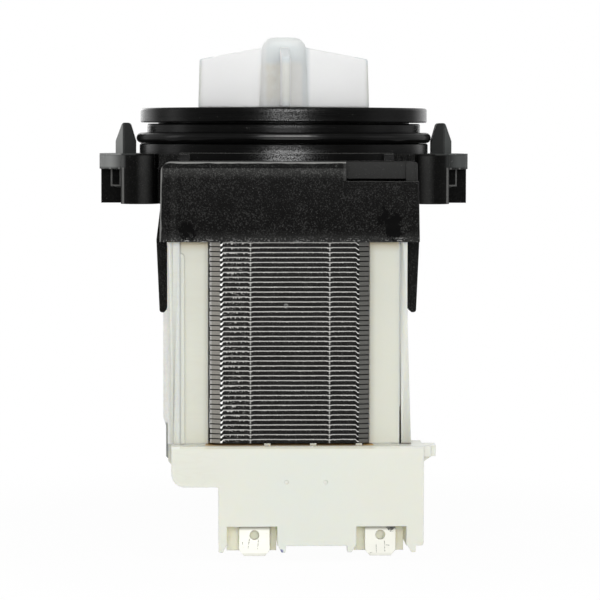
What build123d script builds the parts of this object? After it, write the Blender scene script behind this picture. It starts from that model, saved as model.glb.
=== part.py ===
from build123d import *
import math
import os

# Washer drain pump. Z is the rotor axis, with the impeller on top and the tabs below.
# The zero point is the rotor axis at the top of the rim, and the core's yoke faces -Y.

# General sizes
overrun = 1.0  # how far a cut runs past the face that it opens
seat_gap = 0.02  # between two pieces pressed or clipped together
soft_gap = 0.05  # between a rubber piece and its seat
running_gap = 0.05  # radial clearance of a turning fit
slide_gap = 0.1  # between pieces that slide together when assembled

# Nose of the bracket, which plugs into the pump chamber
nose_height = 9.8
nose_bore_diameter = 51.5
groove_diameter = 59.5
wall_diameter = 62.9
wall_height = 2.2
nose_edge_radius = 0.4
o_ring_section = 2.3

# Front plate
rim_diameter = 62.4
rim_thickness = 3.1
rim_edge_radius = 0.5
rim_slot = 0.25
rim_overhang = 2.4
dish_diameter = 57.0
dish_depth = 1.0
plate_spigot_wall = 2.6
collar_diameter = 12.0
collar_drop = 0.1
shaft_passage_gap = 0.4
seal_housing_diameter = 14.8
seal_housing_bottom = 9.0
seal_diameter = 10.0
seal_length = 4.0

# Bracket deck, ears and tongues
deck_thickness = 3.0
shoulder_overhang = 0.8
shoulder_front = 25.0
ear_radius = 40.15
ear_height = 10.7
lug_thickness = 3.3
lug_width = 25.6
lug_corner_radius = 3.2
ear_web_thickness = 6.4
ear_web_reach = 39.7
ear_tab_width = 2.4
ear_tab_height = 4.0
ear_tab_depth = 1.2
ear_tab_radius = 1.6
boss_radius = 3.95
boss_spacing = 62.4
boss_front = 16.5
boss_core_radius = 2.2
boss_core_depth = 8.0
tongue_height = 6.65
tongue_inner = 32.2
tongue_outer = 36.6
tongue_ridge = 34.6
tongue_depth = 7.6
tongue_top_inner = 33.4
tongue_top_outer = 35.1
tongue_top_radius = 0.75
tongue_shoulder = 2.7
tongue_edge_share = 0.45

# Hood over the coil end, with its step, notch and legs
hood_drop = 1.4
hood_core_lap = 0.05
hood_core_cover = 2.0
hood_back = 11.5
hood_side_gap = 0.1
hood_draft = 0.3
hood_left_radius = 2.1
hood_right_radius = 0.6
hood_edge_radius = 1.3
hood_front_wall = 1.4
hood_back_wall = 1.2
hood_side_wall = 1.15
hood_roof = 1.6
notch_start = 11.3
notch_drop = 3.9
notch_depth = 4.0
notch_plate_width = 12.3
notch_plate_height = 3.4
notch_plate_thickness = 1.2
notch_block_width = 1.6
notch_block_slope = 0.3
step_inset = 2.1
step_height = 1.63
step_lap = 1.55
step_length = 13.0
step_radius = 1.9
step_round_radius = 30.0
flute_width = 0.7
flute_count = 3
leg_set_back = 14.0
leg_width = 8.0
leg_bottom = 42.4
leg_top = 20.0
leg_wall_lap = 0.07
leg_top_thickness = 1.2
leg_root_thickness = 2.1
leg_tip_thickness = 1.45
leg_tip_radius = 0.55
leg_lead_width = 0.5
leg_lead_height = 0.65

# Bracket underside
collar_wall = 1.5
gusset_count = 5
gusset_thickness = 1.6
gusset_depth = 10.0
gusset_tip_depth = 3.0
finger_width = 6.0
finger_thickness = 1.8
finger_bottom = 38.0
finger_root_depth = 4.0

# Rotor can
can_inner_diameter = 17.0
can_wall = 1.0
can_flange_thickness = 2.0
can_floor = 1.2
can_dome_radius = 3.0
can_seal_section = 1.5

# Shaft, bushes and their rubber
shaft_diameter = 3.0
shaft_top = 12.4
shaft_end_gap = 0.8
shaft_chamfer = 0.3
bush_diameter = 9.0
front_bush_length = 7.0
rear_bush_length = 6.0
bush_edge_radius = 0.5
holder_lip = 1.0
holder_lip_diameter = 6.0
holder_groove_width = 1.6
holder_groove_depth = 0.7

# Magnet rotor
magnet_diameter = 16.0
magnet_length = 40.4
magnet_bore = 8.0
cap_diameter = 15.6
cap_thickness = 1.8
washer_diameter = 7.0
washer_thickness = 1.0
end_play = 0.4
cap_space = 1.0

# Lost-motion drive in the impeller's hub
dog_sleeve_diameter = 4.4
dog_reach = 3.4
dog_angle = 89.4
lug_angle = 89.4
lug_gap = 0.3
hub_cavity_diameter = 7.4
hub_cavity_top = 10.0
dog_end_gap = 0.3
plug_thickness = 2.0
blind_bore_gap = 0.3

# Impeller
blade_count = 4
blade_thickness = 1.95
blade_bottom = 0.2
blade_root_height = 13.25
blade_tip_height = 10.7
blade_base_radius = 18.65
blade_top_radius = 18.35
blade_corner_radius = 0.4
blade_end_radius = 0.9
hub_base_diameter = 10.7
hub_top_diameter = 9.5
dome_height = 2.15
dome_flat_diameter = 4.4

# Laminated core: one sheet is a U, stacked along the rotor axis
core_width = 32.3
core_face = 46.0
core_tips = 11.0
yoke_depth = 9.0
core_window_width = 14.3
sheet_pitch = 1.0
sheet_count = 41
sheet_gap = 0.12
sheet_groove_depth = 0.15
core_top = 27.3
yoke_chamfer_width = 2.25
yoke_chamfer_depth = 0.8
pole_air_gap = 0.3
pole_step = 0.6
pole_step_angle = 70.0

# Coils
bobbin_wall = 1.2
bobbin_flange = 1.2
bobbin_yoke_gap = 0.2
flange_lip = 0.2
bobbin_spacing = 2.5
bobbin_corner_radius = 0.8

# Coil frame, which shows beside the yoke
frame_panel = 1.6
frame_coil_gap = 0.1
frame_left_gap = 0.1
frame_right_gap = 0.45
frame_top_drop = 0.2
frame_window_gap = 0.15
frame_window_left_gap = 0.35
frame_return = 1.2
frame_rib_width = 0.85
frame_rib_height = 0.6
frame_rib_drop = 2.5

# Coil cover, the shell round both coils
cover_core_step = 2.0
cover_hood_gap = 0.3
cover_left_gap = 0.2
cover_left_wall = 2.5
cover_right_wall = 1.38
cover_flare = 0.85
cover_flare_start = 14.7
cover_top_gap = 0.45
cover_bottom_gap = 0.65
cover_right_gap_top = 0.12
cover_right_gap_bottom = 0.38
cover_end_wall = 1.35
cover_back_wall = 1.5
cover_corner_radius = 1.2
cover_edge_step = 0.3
cover_edge_step_width = 1.1
cover_skirt_width = 1.35
cover_skirt_lower_width = 0.75
cover_skirt_drop = 1.65
cover_skirt_rise = 10.2
cover_skirt_slope = 1.8
cover_skirt_depth = 3.0
cover_window_gap = 0.3

# Terminal base
base_step_width = 9.55
base_right_wall = 3.5
base_yoke_gap = 0.2
base_height = 20.3
base_step_height = 8.3
base_left_radius = 2.8
base_step_radius = 0.4
base_right_radius = 0.6
base_wall = 1.8
base_roof = 1.6
base_cavity_height = 6.1
base_tooth_width = 1.3
base_tooth_height = 0.4
base_tooth_pitch = 9.3
base_tooth_first = 4.5
base_tooth_count = 3
base_dimple_diameter = 0.8
base_dimple_depth = 0.15
base_dimple_drop = 7.3
base_dimple_start = 0.67
base_dimple_spacing = 7.95
pocket_width = 10.2
pocket_depth = 8.0
pocket_back_wall = 1.5
pocket_notch_height = 3.95
left_pocket_x = 7.63
right_pocket_x = 18.6
prong_length = 1.35
prong_depth = 2.2
prong_slope = 1.8
prong_tip_width = 0.9
prong_tip_radius = 0.3
prong_widths = (1.7, 1.75, 1.84, 1.9)
back_tongue_length = 2.25
clip_height = 2.3
clip_reach = 2.55
clip_inset = 0.8
clip_depth = 5.2
clip_step = 1.4
clip_step_width = 1.5
clip_gusset_height = 1.2
clip_gusset_width = 1.7

# Push-on tabs
tab_width = 6.3
tab_thickness = 0.8
tab_back_gap = 1.9
tab_tip_length = 3.0
tab_length = 18.0
tab_hole_diameter = 1.95
tab_hole_height = 4.3
tab_chamfer_width = 1.0
tab_chamfer_height = 1.2
left_tab_shift = 0.58
right_tab_shift = 0.2

# Thermal fuse in the terminal base
fuse_diameter = 4.0
fuse_length = 12.0
fuse_lead_diameter = 0.9
fuse_lead_length = 2.5
cradle_width = 1.6
cradle_gap = 0.1
cradle_spacing = 7.0

# Places that follow from the sizes above
wall_radius = wall_diameter / 2
groove_radius = groove_diameter / 2
nose_bore_radius = nose_bore_diameter / 2
rim_radius = rim_diameter / 2
shaft_radius = shaft_diameter / 2
bush_radius = bush_diameter / 2
seat_height = -rim_thickness - rim_slot
deck_top = -nose_height
deck_bottom = deck_top - deck_thickness
ear_bottom = deck_top - ear_height
lug_bottom = deck_top - lug_thickness
can_bore_radius = can_inner_diameter / 2
can_radius = can_bore_radius + can_wall
can_flange_top = deck_top + can_flange_thickness
holder_top = -seal_housing_bottom - slide_gap
front_bush_top = holder_top - holder_lip
front_bush_bottom = front_bush_top - front_bush_length
front_washer_top = front_bush_bottom - end_play
core_height = sheet_pitch * sheet_count
core_bottom = -core_top - core_height
core_middle = -core_top - core_height / 2
magnet_top = core_middle + magnet_length / 2
magnet_bottom = core_middle - magnet_length / 2
rear_washer_bottom = magnet_bottom - cap_thickness - cap_space - washer_thickness
rear_bush_top = rear_washer_bottom - end_play
rear_bush_bottom = rear_bush_top - rear_bush_length
rear_holder_bottom = rear_bush_bottom - holder_lip
can_inside_bottom = rear_holder_bottom - seat_gap
can_bottom = can_inside_bottom - can_floor
shaft_bottom = rear_bush_bottom + shaft_end_gap
bore_radius = shaft_radius + running_gap
pole_radius = can_radius + pole_air_gap

yoke_back = core_face - yoke_depth
core_leg_width = (core_width - core_window_width) / 2
core_leg_middle = core_width / 2 - core_leg_width / 2
bobbin_bore_width = core_leg_width + 2 * slide_gap
bobbin_bore_height = core_height + 2 * slide_gap
tube_width = bobbin_bore_width + 2 * bobbin_wall
tube_height = bobbin_bore_height + 2 * bobbin_wall
bobbin_reach = core_leg_middle - bobbin_spacing / 2
winding_thickness = bobbin_reach - tube_width / 2 - flange_lip
coil_width = tube_width + 2 * winding_thickness
coil_height = tube_height + 2 * winding_thickness
coil_reach = core_leg_middle + coil_width / 2 + flange_lip
coil_top = core_middle + coil_height / 2 + flange_lip
coil_bottom = core_middle - coil_height / 2 - flange_lip

cover_front = core_face - cover_core_step
cover_back = hood_back + hood_back_wall + cover_hood_gap
cover_left = coil_reach + cover_left_gap + cover_left_wall
cover_top = coil_top + cover_top_gap + cover_end_wall
cover_bottom = coil_bottom - cover_bottom_gap - cover_end_wall
frame_front = cover_front - frame_rib_height
frame_back = yoke_back + frame_coil_gap
frame_left = coil_reach + frame_left_gap
frame_right = coil_reach + frame_right_gap
frame_top = coil_top - frame_top_drop
cover_right_top = frame_right + cover_right_gap_top + cover_right_wall
cover_right_bottom = cover_right_top + cover_flare
bobbin_front = yoke_back - bobbin_yoke_gap
bobbin_back = cover_back + cover_back_wall + slide_gap

hood_top = deck_top - hood_drop
hood_bottom = -core_top - hood_core_lap
hood_front = core_face + hood_core_cover
hood_top_width = 2 * (cover_left + hood_side_gap + hood_side_wall)
hood_bottom_width = hood_top_width + 2 * hood_draft
step_width = hood_top_width - 2 * step_inset
step_front = wall_radius + step_lap
step_back = step_front - step_length
shoulder_width = hood_top_width + 2 * shoulder_overhang
ear_inner = hood_top_width / 2
leg_front = hood_front - leg_set_back
leg_inner = hood_bottom_width / 2 - hood_side_wall - leg_wall_lap

base_front = hood_front
base_back = yoke_back + base_yoke_gap
base_top = core_bottom - base_tooth_height
base_bottom = base_top - base_height
base_step_bottom = base_top - base_step_height
base_block_left = left_pocket_x + pocket_width / 2 + prong_widths[0]
base_left = base_block_left + base_step_width
base_right = right_pocket_x + pocket_width / 2 + base_right_wall
base_cavity_top = base_top - base_roof
base_cavity_bottom = base_cavity_top - base_cavity_height
base_middle = (base_front + base_back) / 2
pocket_back = -base_back - pocket_back_wall
pocket_ceiling = base_bottom + pocket_depth
tab_back = pocket_back - tab_back_gap
tab_bottom = base_bottom - tab_tip_length
tab_top = tab_bottom + tab_length
left_tab_x = left_tab_shift - left_pocket_x
right_tab_x = right_tab_shift + right_pocket_x
fuse_x = (left_tab_x + right_tab_x) / 2
fuse_height = base_cavity_bottom + fuse_diameter / 2 + cradle_width / 2


def block(x_span, y_span, z_span):
    """A block between two places along each axis."""
    low = Vector(x_span[0], y_span[0], z_span[0])
    high = Vector(x_span[1], y_span[1], z_span[1])
    size = high - low
    return Pos(low + size / 2) * Box(size.X, size.Y, size.Z)


def disc(radius, z_span, x=0, y=0):
    """An upright cylinder between two heights."""
    height = z_span[1] - z_span[0]
    return Pos(x, y, z_span[0] + height / 2) * Cylinder(radius, height)


def ring(outer_radius, inner_radius, z_span):
    """An upright ring about the rotor axis."""
    hole_span = (z_span[0] - overrun, z_span[1] + overrun)
    return disc(outer_radius, z_span) - disc(inner_radius, hole_span)


def rounded(points, radii):
    """A closed outline, with a corner radius for each point and zero where it stays sharp."""
    face = make_face(Polyline(*points, close=True))
    for point, radius in zip(points, radii):
        if radius > 0:
            corner = face.vertices().sort_by_distance(Vector(*point))[0]
            face = fillet(corner, radius)
    return face


def outline(points):
    """A closed outline with sharp corners."""
    return make_face(Polyline(*points, close=True))


def front_slab(face, y_span):
    """An outline in x and z, as seen from the front, given its depth along Y."""
    back = Plane(origin=(0, y_span[1], 0), x_dir=(1, 0, 0), z_dir=(0, -1, 0))
    return extrude(back * face, y_span[1] - y_span[0])


def plan_slab(face, z_span):
    """An outline in x and y given its height along Z."""
    return extrude(Pos(0, 0, z_span[0]) * face, z_span[1] - z_span[0])


def turned(points, radii=None):
    """A solid of revolution about the rotor axis from points of radius and height."""
    face = rounded(points, radii) if radii else outline(points)
    return revolve(Plane.XZ * face, Axis.Z)


def sector(inner_radius, outer_radius, angle, z_span, middle_angle=0):
    """A piece of a ring that covers an angle about the rotor axis."""
    half = math.radians(angle) / 2
    reach = outer_radius / math.cos(half) + overrun
    corners = [
        (0, 0),
        (reach * math.cos(half), -reach * math.sin(half)),
        (reach * math.cos(half), reach * math.sin(half)),
    ]
    wedge = plan_slab(outline(corners), z_span)
    return Rot(0, 0, middle_angle) * (ring(outer_radius, inner_radius, z_span) & wedge)


def both_sides(shape):
    """A shape on the +X side together with its mirror image."""
    return shape + mirror(shape, Plane.YZ)


def front_plate():
    """The rim plate that closes the nose, with the shaft seal's housing below it."""
    passage = shaft_radius + shaft_passage_gap
    collar = collar_diameter / 2
    dish = dish_diameter / 2
    seat_radius = groove_radius - rim_overhang
    spigot = nose_bore_radius - slide_gap
    spigot_inner = spigot - plate_spigot_wall
    rebate = can_seal_section + 2 * soft_gap
    housing = seal_housing_diameter / 2
    pocket = seal_diameter / 2 + soft_gap
    pocket_top = -seal_housing_bottom + seal_length + soft_gap
    points = [
        (passage, -collar_drop),
        (collar, -collar_drop),
        (collar, -dish_depth),
        (dish - dish_depth, -dish_depth),
        (dish, 0),
        (rim_radius, 0),
        (rim_radius, -rim_thickness),
        (seat_radius, -rim_thickness),
        (seat_radius, seat_height),
        (spigot, seat_height),
        (spigot, can_flange_top),
        (spigot_inner + rebate, can_flange_top),
        (spigot_inner + rebate, can_flange_top + rebate),
        (spigot_inner, can_flange_top + rebate),
        (spigot_inner, seat_height),
        (housing, seat_height),
        (housing, -seal_housing_bottom),
        (pocket, -seal_housing_bottom),
        (pocket, pocket_top),
        (passage, pocket_top),
    ]
    radii = [0] * len(points)
    radii[5] = rim_edge_radius
    radii[6] = rim_edge_radius / 2
    return turned(points, radii)


def o_ring():
    """The seal ring, seated on the groove's lower wall."""
    section = o_ring_section / 2
    height = -nose_height + wall_height + section + soft_gap
    return Pos(0, 0, height) * Torus(groove_radius + section + soft_gap, section)


def can_seal():
    """The seal ring between the can's flange and the front plate."""
    section = can_seal_section / 2
    inner = nose_bore_radius - slide_gap - plate_spigot_wall
    place = inner + soft_gap + section
    return Pos(0, 0, can_flange_top + soft_gap + section) * Torus(place, section)


def shaft_seal():
    """A lip seal whose two lips run on the shaft."""
    top = -seal_housing_bottom + seal_length
    bottom = -seal_housing_bottom + seat_gap
    lip = shaft_radius + running_gap
    body = seal_diameter / 2
    waist = (body + lip) / 2
    middle = (top + bottom) / 2
    points = [
        (lip, top),
        (body, top),
        (body, bottom),
        (waist, bottom),
        (lip, middle),
    ]
    return turned(points)


def nose():
    """The grooved ring at the top of the bracket."""
    points = [
        (nose_bore_radius, deck_top),
        (wall_radius, deck_top),
        (wall_radius, deck_top + wall_height),
        (groove_radius, deck_top + wall_height),
        (groove_radius, seat_height),
        (nose_bore_radius, seat_height),
    ]
    return turned(points, [0, 0, nose_edge_radius, 0, nose_edge_radius, 0])


def lug_plan():
    """The plan of one ear's lug: an arc about the rotor axis with rounded corners."""
    strip = Rectangle(ear_radius - ear_inner, lug_width)
    strip = Pos((ear_radius + ear_inner) / 2, 0) * strip
    plan = Circle(ear_radius) & strip
    outer = plan.vertices().sort_by(Axis.X)[-2:]
    return fillet(outer, lug_corner_radius)


def tongue():
    """The upright locating tongue: six sides in plan, drawn in towards its top."""
    half = tongue_depth / 2
    edge = half * tongue_edge_share
    plan = [
        (tongue_inner, -edge),
        (tongue_ridge, -half),
        (tongue_outer, -edge),
        (tongue_outer, edge),
        (tongue_ridge, half),
        (tongue_inner, edge),
    ]
    prism = plan_slab(outline(plan), (lug_bottom, deck_top + tongue_height))
    taper = [
        (tongue_inner, lug_bottom),
        (tongue_outer, lug_bottom),
        (tongue_outer, deck_top + tongue_shoulder),
        (tongue_top_outer, deck_top + tongue_height),
        (tongue_top_inner, deck_top + tongue_height),
        (tongue_inner, deck_top + tongue_shoulder),
    ]
    radii = [0, 0, 0, tongue_top_radius, tongue_top_radius, 0]
    return prism & front_slab(rounded(taper, radii), (-half, half))


def ear_tab():
    """The small rounded tab that hangs under the lug, in front of the ear's web."""
    inner = boss_spacing / 2 + boss_radius - overrun
    outer = boss_spacing / 2 + boss_radius + ear_tab_width
    points = [
        (inner, lug_bottom),
        (outer, lug_bottom),
        (outer, lug_bottom - ear_tab_height),
        (inner, lug_bottom - ear_tab_height),
    ]
    front = -ear_web_thickness / 2
    return front_slab(rounded(points, [0, 0, ear_tab_radius, 0]), (front - ear_tab_depth, front))


def ear():
    """The ear on the +X side: lug, web, hanging tab, boss and tongue."""
    half_web = ear_web_thickness / 2
    boss_x = boss_spacing / 2
    boss_y = -boss_front + boss_radius
    lug = plan_slab(lug_plan(), (lug_bottom, deck_top))
    web = block((ear_inner, ear_web_reach), (-half_web, half_web), (ear_bottom, lug_bottom))
    link = block(
        (hood_bottom_width / 2 - hood_side_wall, boss_x),
        (boss_y, -half_web),
        (ear_bottom, deck_top),
    )
    boss = disc(boss_radius, (ear_bottom, deck_top), boss_x, boss_y)
    core = disc(boss_core_radius, (ear_bottom - overrun, ear_bottom + boss_core_depth), boss_x, boss_y)
    return lug + web + link + boss + ear_tab() + tongue() - core


def deck():
    """The round deck under the nose, with square shoulders at the hood."""
    half = shoulder_width / 2
    shoulders = block((-half, half), (-shoulder_front, 0), (deck_bottom, deck_top))
    return disc(wall_radius, (deck_bottom, deck_top)) + shoulders


def hood_outline(bottom, inset=0, roof=0):
    """The hood as seen from the front, drawn in by a wall where it is asked for."""
    top_half = hood_top_width / 2 - inset
    bottom_half = hood_bottom_width / 2 - inset
    points = [
        (-bottom_half, bottom),
        (bottom_half, bottom),
        (top_half, hood_top - roof),
        (-top_half, hood_top - roof),
    ]
    corner = 0 if inset else 1
    return rounded(points, [0, 0, corner * hood_right_radius, corner * hood_left_radius])


def hood_step():
    """The raised part of the hood's roof in front of the nose, with a bowed front."""
    half = step_width / 2
    top = hood_top + step_height
    points = [(-half, deck_bottom), (half, deck_bottom), (half, top), (-half, top)]
    slab = front_slab(rounded(points, [0, 0, step_radius, step_radius]), (-step_front, -step_back))
    slab = slab & disc(step_round_radius, (deck_bottom, top), y=step_round_radius - step_front)
    return slab - disc(nose_bore_radius, (deck_top, overrun))


def notch_filling():
    """The plate set back in the hood's notch, and the small block at its end."""
    front = -hood_front + notch_depth
    top = hood_top
    end = notch_start + notch_plate_width
    plate = block(
        (notch_start - notch_plate_thickness, end),
        (front, front + notch_plate_thickness),
        (top - notch_plate_height, top),
    )
    foot = hood_top - notch_drop
    block_end = end + notch_block_width
    points = [
        (end, foot - notch_plate_thickness),
        (block_end + notch_block_slope, foot - notch_plate_thickness),
        (block_end, top),
        (end, top),
    ]
    reach = (front - notch_plate_thickness / 2, front + notch_plate_thickness)
    return plate + front_slab(outline(points), reach)


def hood():
    """The hollow hood over the coils' upper end, open at the bottom."""
    shell = front_slab(hood_outline(hood_bottom), (-hood_front, -hood_back))
    rims = shell.faces().sort_by(Axis.Y)[0].edges().filter_by(lambda e: e.center().Z > hood_bottom)
    shell = fillet(rims, min(hood_edge_radius, hood_front_wall - seat_gap))
    hollow = front_slab(
        hood_outline(hood_bottom - overrun, hood_side_wall, hood_roof),
        (-hood_front + hood_front_wall, -hood_back - hood_back_wall),
    )
    notch = block(
        (notch_start, hood_bottom_width),
        (-hood_front - overrun, -hood_front + notch_depth),
        (hood_top - notch_drop, overrun),
    )
    return shell - hollow - notch + notch_filling()


def flutes():
    """Short upright ribs beside the hood's step, at its right end."""
    start = step_width / 2 - step_radius / 2
    pitch = (shoulder_width / 2 - start) / flute_count
    front = -shoulder_front
    ribs = Part()
    for number in range(flute_count):
        place = start + number * pitch
        ribs += block(
            (place, place + flute_width),
            (front - flute_width, front + flute_width),
            (deck_bottom, deck_top),
        )
    return ribs


def leg():
    """One springy leg, from under the ear down the side of the coil cover."""
    root = leg_inner + leg_root_thickness
    tip = leg_inner + leg_tip_thickness
    points = [
        (leg_inner, -leg_top),
        (leg_inner + leg_top_thickness, -leg_top),
        (root, hood_bottom),
        (tip, -leg_bottom),
        (leg_inner + leg_lead_width, -leg_bottom),
        (leg_inner, -leg_bottom + leg_lead_height),
    ]
    face = rounded(points, [0, 0, 0, leg_tip_radius, 0, 0])
    return front_slab(face, (-leg_front, -leg_front + leg_width))


def gussets():
    """Triangular ribs under the back of the deck, from the can's collar outwards."""
    start = can_radius + slide_gap + collar_wall / 2
    end = groove_radius
    points = [
        (start, deck_bottom + overrun),
        (end, deck_bottom + overrun),
        (end, deck_bottom - gusset_tip_depth),
        (start, deck_bottom - gusset_depth),
    ]
    half = gusset_thickness / 2
    rib = front_slab(outline(points), (-half, half))
    ribs = Part()
    for number in range(gusset_count):
        ribs += Rot(0, 0, 180 * (number + 1) / (gusset_count + 1)) * rib
    return ribs


def finger():
    """One finger that reaches down behind a pole of the core."""
    front = core_tips + slide_gap
    low = core_leg_middle - finger_width / 2
    high = core_leg_middle + finger_width / 2
    blade = block((low, high), (front, front + finger_thickness), (-finger_bottom, deck_bottom))
    root = block(
        (low, high),
        (front, front + finger_thickness + finger_root_depth),
        (deck_bottom - finger_root_depth, deck_bottom),
    )
    rim = root.edges().filter_by(Axis.X).sort_by(Axis.Z)[:2].sort_by(Axis.Y)[-1]
    return blade + chamfer(rim, finger_root_depth - seat_gap)


def motor_bracket():
    """The black moulding that carries the nose, the ears, the hood and the can."""
    can_hole = disc(can_radius + slide_gap, (-core_top - overrun, overrun))
    collar = disc(can_radius + slide_gap + collar_wall, (-core_top, deck_bottom))
    back_wall_trim = block(
        (-core_width, core_width),
        (-hood_back - hood_back_wall - overrun, overrun),
        (hood_bottom - overrun, -core_top + slide_gap),
    )
    body = nose() + deck() + hood() - back_wall_trim
    body = body + hood_step() + flutes() + collar + gussets()
    body = body + both_sides(ear()) + both_sides(leg()) + both_sides(finger())
    return body - can_hole


def rotor_can():
    """The closed cup between rotor and stator, with the flange that seals it."""
    flange = nose_bore_radius - slide_gap
    points = [
        (0, can_bottom),
        (can_radius, can_bottom),
        (can_radius, deck_top),
        (flange, deck_top),
        (flange, can_flange_top),
        (can_bore_radius, can_flange_top),
        (can_bore_radius, can_inside_bottom),
        (0, can_inside_bottom),
    ]
    return turned(points, [0, can_dome_radius, 0, 0, 0, 0, 0, 0])


def bearing_bush(top, length):
    """A plain bush that the shaft runs in."""
    bush = ring(bush_radius, bore_radius, (top - length, top))
    rims = bush.edges().filter_by(GeomType.CIRCLE).sort_by(lambda edge: edge.radius)[-2:]
    return fillet(rims, bush_edge_radius)


def holder_groove(middle):
    """The waist round the outside of a rubber holder."""
    half = holder_groove_width / 2
    outer = can_bore_radius + overrun
    return ring(outer, can_bore_radius - holder_groove_depth, (middle - half, middle + half))


def front_bearing_holder():
    """The rubber ring round the front bush, with a lip over its top."""
    seat = disc(bush_radius + seat_gap, (front_bush_bottom - overrun, front_bush_top + seat_gap))
    passage = disc(holder_lip_diameter / 2, (front_bush_bottom - overrun, holder_top + overrun))
    body = disc(can_bore_radius - soft_gap, (front_bush_bottom, holder_top))
    middle = (front_bush_bottom + holder_top) / 2
    return body - seat - passage - holder_groove(middle)


def rear_bearing_holder():
    """The rubber cup round the rear bush, closed below the shaft's end."""
    body = disc(can_bore_radius - soft_gap, (rear_holder_bottom, rear_bush_top))
    rims = body.edges().filter_by(GeomType.CIRCLE).sort_by(Axis.Z)[0]
    body = chamfer(rims, holder_lip)
    seat = disc(bush_radius + seat_gap, (rear_bush_bottom - seat_gap, rear_bush_top + overrun))
    middle = (rear_holder_bottom + rear_bush_top) / 2
    return body - seat - holder_groove(middle)


def rotor_shaft():
    """The steel shaft, from the rear bush up into the impeller's hub."""
    shaft = disc(shaft_radius, (shaft_bottom, shaft_top))
    return chamfer(shaft.edges().filter_by(GeomType.CIRCLE), shaft_chamfer)


def magnet_core():
    """The plastic sleeve that carries the magnet and its washers."""
    span = (rear_washer_bottom + washer_thickness, front_washer_top - washer_thickness)
    return ring(magnet_bore / 2 - seat_gap, shaft_radius + seat_gap, span)


def rotor_magnet():
    """The two-pole ring magnet."""
    return ring(magnet_diameter / 2, magnet_bore / 2, (magnet_bottom, magnet_top))


def magnet_cap(face, outward):
    """A plastic end cap on the magnet, turned up or down."""
    far = face + outward * cap_thickness
    span = (min(face, far), max(face, far))
    cap = ring(cap_diameter / 2, magnet_bore / 2, span)
    rims = cap.edges().filter_by(GeomType.CIRCLE).sort_by(Axis.Z, reverse=outward > 0)[:2]
    outer = rims.sort_by(lambda edge: edge.radius)[-1]
    return chamfer(outer, cap_thickness / 2)


def thrust_washer(top):
    """A slippery washer between the rotor and a bush."""
    return ring(washer_diameter / 2, shaft_radius + seat_gap, (top - washer_thickness, top))


def drive_dog():
    """The toothed sleeve on the shaft that pushes the impeller round."""
    bottom = blade_bottom + plug_thickness + dog_end_gap
    top = hub_cavity_top - dog_end_gap
    sleeve = ring(dog_sleeve_diameter / 2, shaft_radius + seat_gap, (bottom, top))
    tooth = sector(shaft_radius + seat_gap, dog_reach, dog_angle, (bottom, top))
    return sleeve + tooth


def hub_plug():
    """The ring that closes the impeller's hub below the dog."""
    outer = hub_cavity_diameter / 2 - seat_gap
    return ring(outer, bore_radius, (blade_bottom, blade_bottom + plug_thickness))


def blade():
    """One blade, from the axis out to the +X side."""
    points = [
        (0, blade_bottom),
        (blade_base_radius, blade_bottom),
        (blade_top_radius, blade_tip_height),
        (hub_top_diameter / 2, blade_root_height),
        (0, blade_root_height),
    ]
    half = blade_thickness / 2
    slab = front_slab(outline(points), (-half, half))
    end = slab.faces().sort_by(Axis.X)[-1]
    slab = fillet(end.edges().sort_by(SortBy.LENGTH)[-2:], blade_end_radius)
    reach = blade_top_radius - blade_thickness
    near_end = slab.edges().filter_by(lambda edge: edge.center().X > reach)
    crown = near_end.filter_by(lambda edge: edge.center().Z > blade_tip_height - blade_corner_radius)
    return fillet(crown, blade_corner_radius)


def impeller_hub():
    """The tapered hub with its domed end."""
    dome_base = hub_top_diameter / 2
    dome_top = blade_root_height + dome_height
    flat = dome_flat_diameter / 2
    start = (dome_base, blade_root_height)
    finish = (flat, dome_top)
    edges = Polyline((0, dome_top), (0, blade_bottom), (hub_base_diameter / 2, blade_bottom), start)
    crown = TangentArc(finish, start, tangent=(1, 0))
    lid = Line(finish, (0, dome_top))
    return revolve(Plane.XZ * make_face(edges + crown + lid), Axis.Z)


def impeller():
    """Blades and hub in one moulding, hollow below for the dog."""
    body = impeller_hub()
    for number in range(blade_count):
        body += Rot(0, 0, 360 * number / blade_count) * blade()
    cavity = disc(hub_cavity_diameter / 2, (blade_bottom - overrun, hub_cavity_top))
    bore = disc(bore_radius, (blade_bottom, shaft_top + blind_bore_gap))
    floor = blade_bottom + plug_thickness + seat_gap
    reach = hub_cavity_diameter / 2 + overrun / 2
    inner = dog_sleeve_diameter / 2 + lug_gap
    driven_lug = sector(inner, reach, lug_angle, (floor, hub_cavity_top + overrun / 2), 180)
    return body - cavity - bore + driven_lug


def sheet_plan():
    """One sheet of the core: a U whose legs end in stepped pole arcs."""
    half = core_width / 2
    gap_half = half - core_leg_width
    face = -core_face
    flat = half - yoke_chamfer_width
    points = [
        (-flat, face),
        (flat, face),
        (half, face + yoke_chamfer_depth),
        (half, core_tips),
        (gap_half, core_tips),
        (gap_half, -yoke_back),
        (-gap_half, -yoke_back),
        (-gap_half, core_tips),
        (-half, core_tips),
        (-half, face + yoke_chamfer_depth),
    ]
    return outline(points)


def pole_bore(z_span):
    """The round hole for the can, with a wider step on two opposite quarters."""
    wide = pole_radius + pole_step
    bore = disc(pole_radius, z_span)
    middle = pole_step_angle / 2
    for side in (0, 180):
        bore += sector(0, wide, pole_step_angle, z_span, side + middle)
    return bore


def sheet_grooves():
    """The fine grooves between sheets, across the yoke's face."""
    half = core_width / 2 + overrun
    cutter = block(
        (-half, half),
        (-core_face - overrun, -core_face + sheet_groove_depth),
        (-sheet_gap / 2, sheet_gap / 2),
    )
    grooves = Part()
    for number in range(1, sheet_count):
        grooves += Pos(0, 0, core_bottom + number * sheet_pitch) * cutter
    return grooves


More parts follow.
